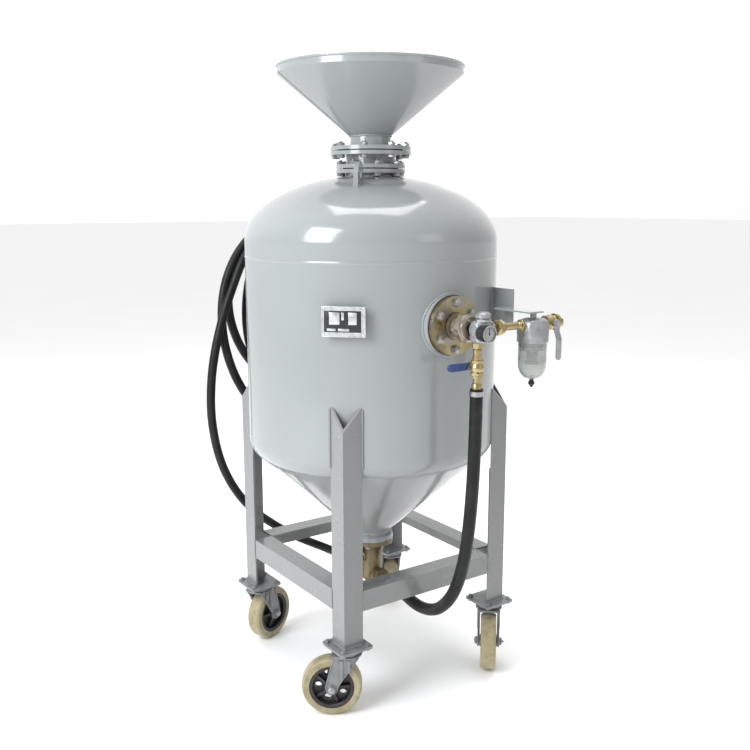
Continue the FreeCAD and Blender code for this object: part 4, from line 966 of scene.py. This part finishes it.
def sand_valve():
    """Cast metering valve with ribs, hose ports and side boss; its bolts; its lobed knob."""
    bm = bmesh.new()
    add_lathe(bm, [(16, 350), (61.5, 350), (62.5, 351), (62.5, 363), (61.5, 364), (16, 364)],
              VESSEL_AXIS, 96, closed=True)
    barrel = [(0, 228), (22, 229), (29, 236), (31, 246), (31, 300), (32, 318), (36, 333),
              (42, 345), (47, 350), (16, 350), (16, 262), (0, 262)]
    add_lathe(bm, barrel, VESSEL_AXIS, 72)
    for spin in turned(TO_METRES, 4):
        rings = [[(30, y, 296), (30, y, 349.5), (57, y, 349.5), (52, y, 344)] for y in (-3, 3)]
        add_rings(bm, rings, spin)
    for side in (-1, 1):
        arm = along((0, 0, VALVE_Z), Y_AXIS * side)
        add_lathe(bm, [(0, 10), (24, 10), (24, 42), (25, 44), (0, 44)], arm, 60)
        add_hexagon(bm, 23.4, 44, 62, arm)
        add_lathe(bm, [(7, 60), (18, 60), (19, 62), (19, 66), (15, 68), (15, 84), (7, 84)],
                  arm, 48, closed=True)
    boss = along((0, 0, VALVE_Z + 56), -X_AXIS)
    add_lathe(bm, [(0, 20), (15, 20), (15, 34), (13, 36), (0, 36)], boss, 48)
    add_hexagon(bm, 12, 36, 44, boss)
    piece("sand_valve_casting", bm, "sand_brass", replaces=["sand_valve_body"])
    bm = bmesh.new()
    for index in range(4):
        spot = polar(54, 45 + 90 * index, 350)
        add_bolt_set(bm, upright(*spot, turn=0.3 * index), 28, 4.4)
    piece("outlet_hardware", bm, "bright_steel")
    bm = bmesh.new()
    add_lathe(bm, [(0, 20), (6, 20), (6, 44.4), (9, 44.6), (9, 48.4), (0, 48.4)], boss, 40)

    def lobes(radius):
        return lambda angle: radius * (1 + 0.07 * math.cos(6 * angle))

    rings = [circle(lobes(radius), height, 72) for radius, height in (
        (16, 48), (19.5, 49), (20.8, 51), (20.8, 61), (19.6, 64), (17, 66))]
    add_rings(bm, rings, boss)
    add_lathe(bm, [(0, 65), (7, 65), (7, 67.4), (6, 68), (0, 68)], boss, 32)
    piece("sand_valve_wheel", bm, "black_plastic", body="sand_knob", replaces=["sand_valve_knob"])


def add_clamp(band, screw, centre, direction, radius, turn):
    """Worm-drive clamp: band with raised edges and slots, housing and slotted screw."""
    place = along(centre, direction, turn)
    width = 12
    outer = radius + 1.4
    half = width / 2
    add_lathe(band, [(radius, -half), (outer + 0.5, -half), (outer + 0.5, -half + 1),
                     (outer, -half + 1.4), (outer, half - 1.4), (outer + 0.5, half - 1),
                     (outer + 0.5, half), (radius, half)], place, 72, closed=True)
    for index in range(-4, 7):
        spin = place @ Matrix.Rotation(-0.9 - 0.11 * index, 4, "Z")
        add_box(band, (outer - 0.2, -0.5, -3.2), (outer + 0.5, 0.5, 3.2), spin, 0.1)
    add_box(band, (outer - 0.5, -8, -6.4), (outer + 1.2, 8, 6.4), place, 0.4)
    rings = []
    for step in (-7, -5.6, 5.6, 7):
        shrink = 0.6 if abs(step) == 7 else 0
        rings.append([(outer + 4.4 + (4.2 - shrink) * math.cos(TURN * k / 20), step,
                       (4.6 - shrink) * math.sin(TURN * k / 20)) for k in range(20)])
    add_rings(band, rings, place)
    local = place @ Matrix.Translation((outer + 4.4, 6, 0)) @ Matrix.Rotation(-TURN / 4, 4, "X")
    add_lathe(screw, [(0, 0), (3, 0), (3, 2), (0, 2)], local, 24)
    add_hexagon(screw, 3.7, 2, 6, local)
    add_box(screw, (-3.4, -0.5, 5.6), (3.4, 0.5, 6.3), local, 0.1)


def hose_clamps():
    """Worm-drive clamps on the three hose ends that have barbs."""
    band, screw = bmesh.new(), bmesh.new()
    for centre, direction, radius, turn in (
            ((0, -458, 874), (0, 1, -86), 16.6, 2.2), ((0, -96, 249.5), (0, -39, -2), 16.6, 0.4),
            ((0, 96, 250), (-1, 56, 0), 13.6, 0.5)):
        add_clamp(band, screw, centre, Vector(direction).normalized(), radius, turn)
    piece("clamp_bands", band, "bright_steel", replaces=["hose_clamps"])
    piece("clamp_screws", screw, "yellow_zinc")


def nozzle():
    """Ribbed holder, hexagon and tapered nozzle that hang at the end of the blast hose."""
    place = along((160, 521, 930), -Z_AXIS)
    bm = bmesh.new()
    add_lathe(bm, [(13.4, -14), (18, -14), (19, -12), (19, 8), (17.6, 10), (17.6, 14), (19, 16),
                   (19, 46), (18, 49), (13, 50)], place, 56)
    for spin in turned(place, 18):
        add_box(bm, (18.4, -1.1, 18), (20, 1.1, 45), spin, 0.4)
    add_hexagon(bm, 19.6, 50, 69, place)
    profile = [(0, 69), (16, 69), (17, 71), (17, 98), (15.6, 101)]
    for step in range(6):
        height = 104 + 7 * step
        profile += [(16 - 0.8 * step, height), (15 - 0.8 * step, height + 3)]
    profile += [(12, 152), (10.5, 155), (5.2, 155), (5.2, 120), (0, 120)]
    add_lathe(bm, profile, place, 56)
    return piece("nozzle_body", bm, "nozzle_steel", replaces=["blast_nozzle"])


# ---------------- casters

TRAILS = {"front": 145, "right": -132, "rear": 61, "left": 22}
CASTER_CENTRE = 248
FORK_TRAIL = 42
WHEEL_RADIUS = 80


def casters():
    """Per corner: the fork's race and pressed edges, axle ends, wheel ribs and hub shields."""
    for corner, (sx, sy) in CORNERS.items():
        stem = (Matrix.Translation(Vector((sx * CASTER_CENTRE, sy * CASTER_CENTRE, 0)) * MM)
                @ Matrix.Rotation(math.radians(TRAILS[corner]), 4, "Z") @ TO_METRES)
        axle = stem @ Matrix.Translation((FORK_TRAIL, 0, WHEEL_RADIUS))
        axle = axle @ Matrix.Rotation(-TURN / 4, 4, "X")
        ends = [axle @ Matrix.Scale(side, 4, Z_AXIS) for side in (-1, 1)]
        caster_body, wheel_body = "caster_" + corner, "wheel_" + corner
        bm = bmesh.new()
        add_lathe(bm, [(31, 171.6), (37.5, 171.2), (38.4, 170), (38.4, 167), (36, 165.6),
                       (31, 166)], stem, 72, closed=True)
        add_lathe(bm, [(0, 167), (11, 167), (11, 162.6), (9, 161.6), (0, 161.6)], stem, 32)
        for y in (-29.6, 29.6):
            path = [(-29, y, 169), (27, y, 86), (29.5, y, 72), (37, y, 65.4), (47, y, 65.4),
                    (54.5, y, 72), (57, y, 86), (37, y, 168)]
            add_sweep(bm, [stem @ Vector(point) for point in path], 0.0022)
            for x in (-8, 12):
                add_box(bm, (x, y - 2.4, 120 - x), (x + 10, y + 2.4, 160), stem, 1.2)
        piece("fork_pressing_" + corner, bm, "caster_steel", body=caster_body)
        bm = bmesh.new()
        for end in ends:
            add_tube(bm, 11, 5, 29, 30.6, end, 40)
            add_hexagon(bm, 9.2, 30.6, 38, end)
            add_lathe(bm, [(0, 38), (7.8, 38), (7.8, 40), (6.6, 41), (0, 41)], end, 32)
        add_lathe(bm, [(0, 40), (3, 40), (3, 43), (1.6, 44.4), (2.2, 45.6), (0, 46.4)], axle, 20)
        piece("axle_hardware_" + corner, bm, "bright_steel", body=caster_body)
        bm = bmesh.new()
        for end in ends:
            for spin in turned(end, 5, 0.5):
                rings = [[(17, y, 4), (17, y, 21), (50, y, 12), (50, y, 4)] for y in (-3.4, 3.4)]
                add_rings(bm, rings, spin)
            for spin in turned(end, 5):
                add_tube(bm, 12, 9.6, 4.4, 7.4, spin @ Matrix.Translation((36, 0, 0)), 36)
            add_lathe(bm, [(50, 18), (52, 20.4), (58, 20.4), (59, 18)], end, 72, closed=True)
        piece("wheel_ribs_" + corner, bm, "wheel_iron", body=wheel_body)
        bm = bmesh.new()
        for end in ends:
            add_lathe(bm, [(6.4, 23), (17, 23), (17, 24.2), (15, 24.6), (6.4, 24.6)],
                      end, 40, closed=True)
        piece("hub_shields_" + corner, bm, "bright_steel", body=wheel_body)


def soften():
    """Small rounded edges on the plates and folded sections carried over from CAD."""
    widths = {"lifting_lugs": 1.2, "inlet_cover": 0.8, "inlet_pad": 0.8, "caster_plates": 0.7,
              "nameplate_bracket": 0.3, "filter_bracket": 0.5, "hose_saddle": 0.7}
    widths.update({"leg_" + corner: 0.9 for corner in CORNERS})
    widths.update({"rail_" + corner: 0.9 for corner in CORNERS})
    widths.update({"caster_fork_" + corner: 0.8 for corner in CORNERS})
    for name, width in widths.items():
        node = nodes[name]
        modifier = node.modifiers.new("edges", "BEVEL")
        modifier.width = width * MM
        modifier.segments = 2
        modifier.limit_method = "ANGLE"
        modifier.angle_limit = math.radians(40)


# ---------------- stage, light and camera

CAMERA_PLACE = (-1.463, -2.126, 1.337)
CAMERA_TURN = math.radians(-34.8)
CAMERA_TILT = math.radians(90 - 10.7)
CAMERA_LENS = 43.87
BRIGHT_SIDE = (0.26, 0.64, 0.72)


def camera():
    data = bpy.data.cameras.new("camera")
    data.lens = CAMERA_LENS
    data.sensor_width = 36
    eye = bpy.data.objects.new("camera", data)
    eye.location = CAMERA_PLACE
    eye.rotation_euler = (CAMERA_TILT, math.radians(0.1), CAMERA_TURN)
    bpy.context.collection.objects.link(eye)
    bpy.context.scene.camera = eye


def area_light(name, place, target, size, power, colour=(1, 1, 1)):
    data = bpy.data.lights.new(name, "AREA")
    data.shape = "RECTANGLE"
    data.size, data.size_y = size
    data.energy = power
    data.color = colour
    lamp = bpy.data.objects.new(name, data)
    lamp.location = place
    lamp.rotation_euler = (Vector(target) - Vector(place)).to_track_quat("-Z", "Y").to_euler()
    bpy.context.collection.objects.link(lamp)


def studio():
    """Pale floor, graded sky, soft key from the left, weak fill and overhead panel."""
    scene = bpy.context.scene
    scene.view_settings.view_transform = "Standard"
    world = bpy.data.worlds.new("studio")
    world.use_nodes = True
    tree = world.node_tree
    direction = tree.nodes.new("ShaderNodeTexCoord")
    facing = tree.nodes.new("ShaderNodeVectorMath")
    facing.operation = "DOT_PRODUCT"
    facing.inputs[1].default_value = BRIGHT_SIDE
    tree.links.new(direction.outputs["Generated"], facing.inputs[0])
    shade = colour_ramp(tree, facing.outputs["Value"], (
        (0.0, grey(0.38)), (0.35, grey(0.58)), (0.7, grey(0.97))))
    tree.links.new(shade, tree.nodes["Background"].inputs["Color"])
    tree.nodes["Background"].inputs["Strength"].default_value = 1.2
    scene.world = world
    mesh = bpy.data.meshes.new("floor")
    half = 60
    mesh.from_pydata([(-half, -half, 0), (half, -half, 0), (half, half, 0), (-half, half, 0)],
                     [], [(0, 1, 2, 3)])
    floor = bpy.data.objects.new("floor", mesh)
    look = Look("pale_floor")
    look.drive("Base Color", look.ramp(
        look.noise(1.2, 4), (0.3, grey(0.96)), (0.7, grey(0.985))))
    look.fix("Roughness", 0.8)
    look.fix("Emission Color", (1, 1, 1, 1))
    look.fix("Emission Strength", 0.02)
    mesh.materials.append(look.material)
    bpy.context.collection.objects.link(floor)
    area_light("key", (-3.2, -0.6, 2.6), (0, 0, 0.9), (1.6, 2.4), 130, (0.94, 0.97, 1.0))
    area_light("fill", (1.2, -3.6, 2.2), (0, 0, 0.9), (1.4, 1.4), 8, (1.0, 0.99, 0.97))
    area_light("top", (0.4, 0.5, 4.4), (0, 0, 1.2), (2.4, 2.4), 95)


camera()
hoses(nozzle())
finish_nodes()
soften()
for build in (flange_bolts, vessel_welds, funnel_edge, frame_welds, nameplate_faces, union,
              regulator, gauge, fittings, air_filter, inlet_valve, drop_valve, sand_valve,
              hose_clamps, casters):
    build()
studio()
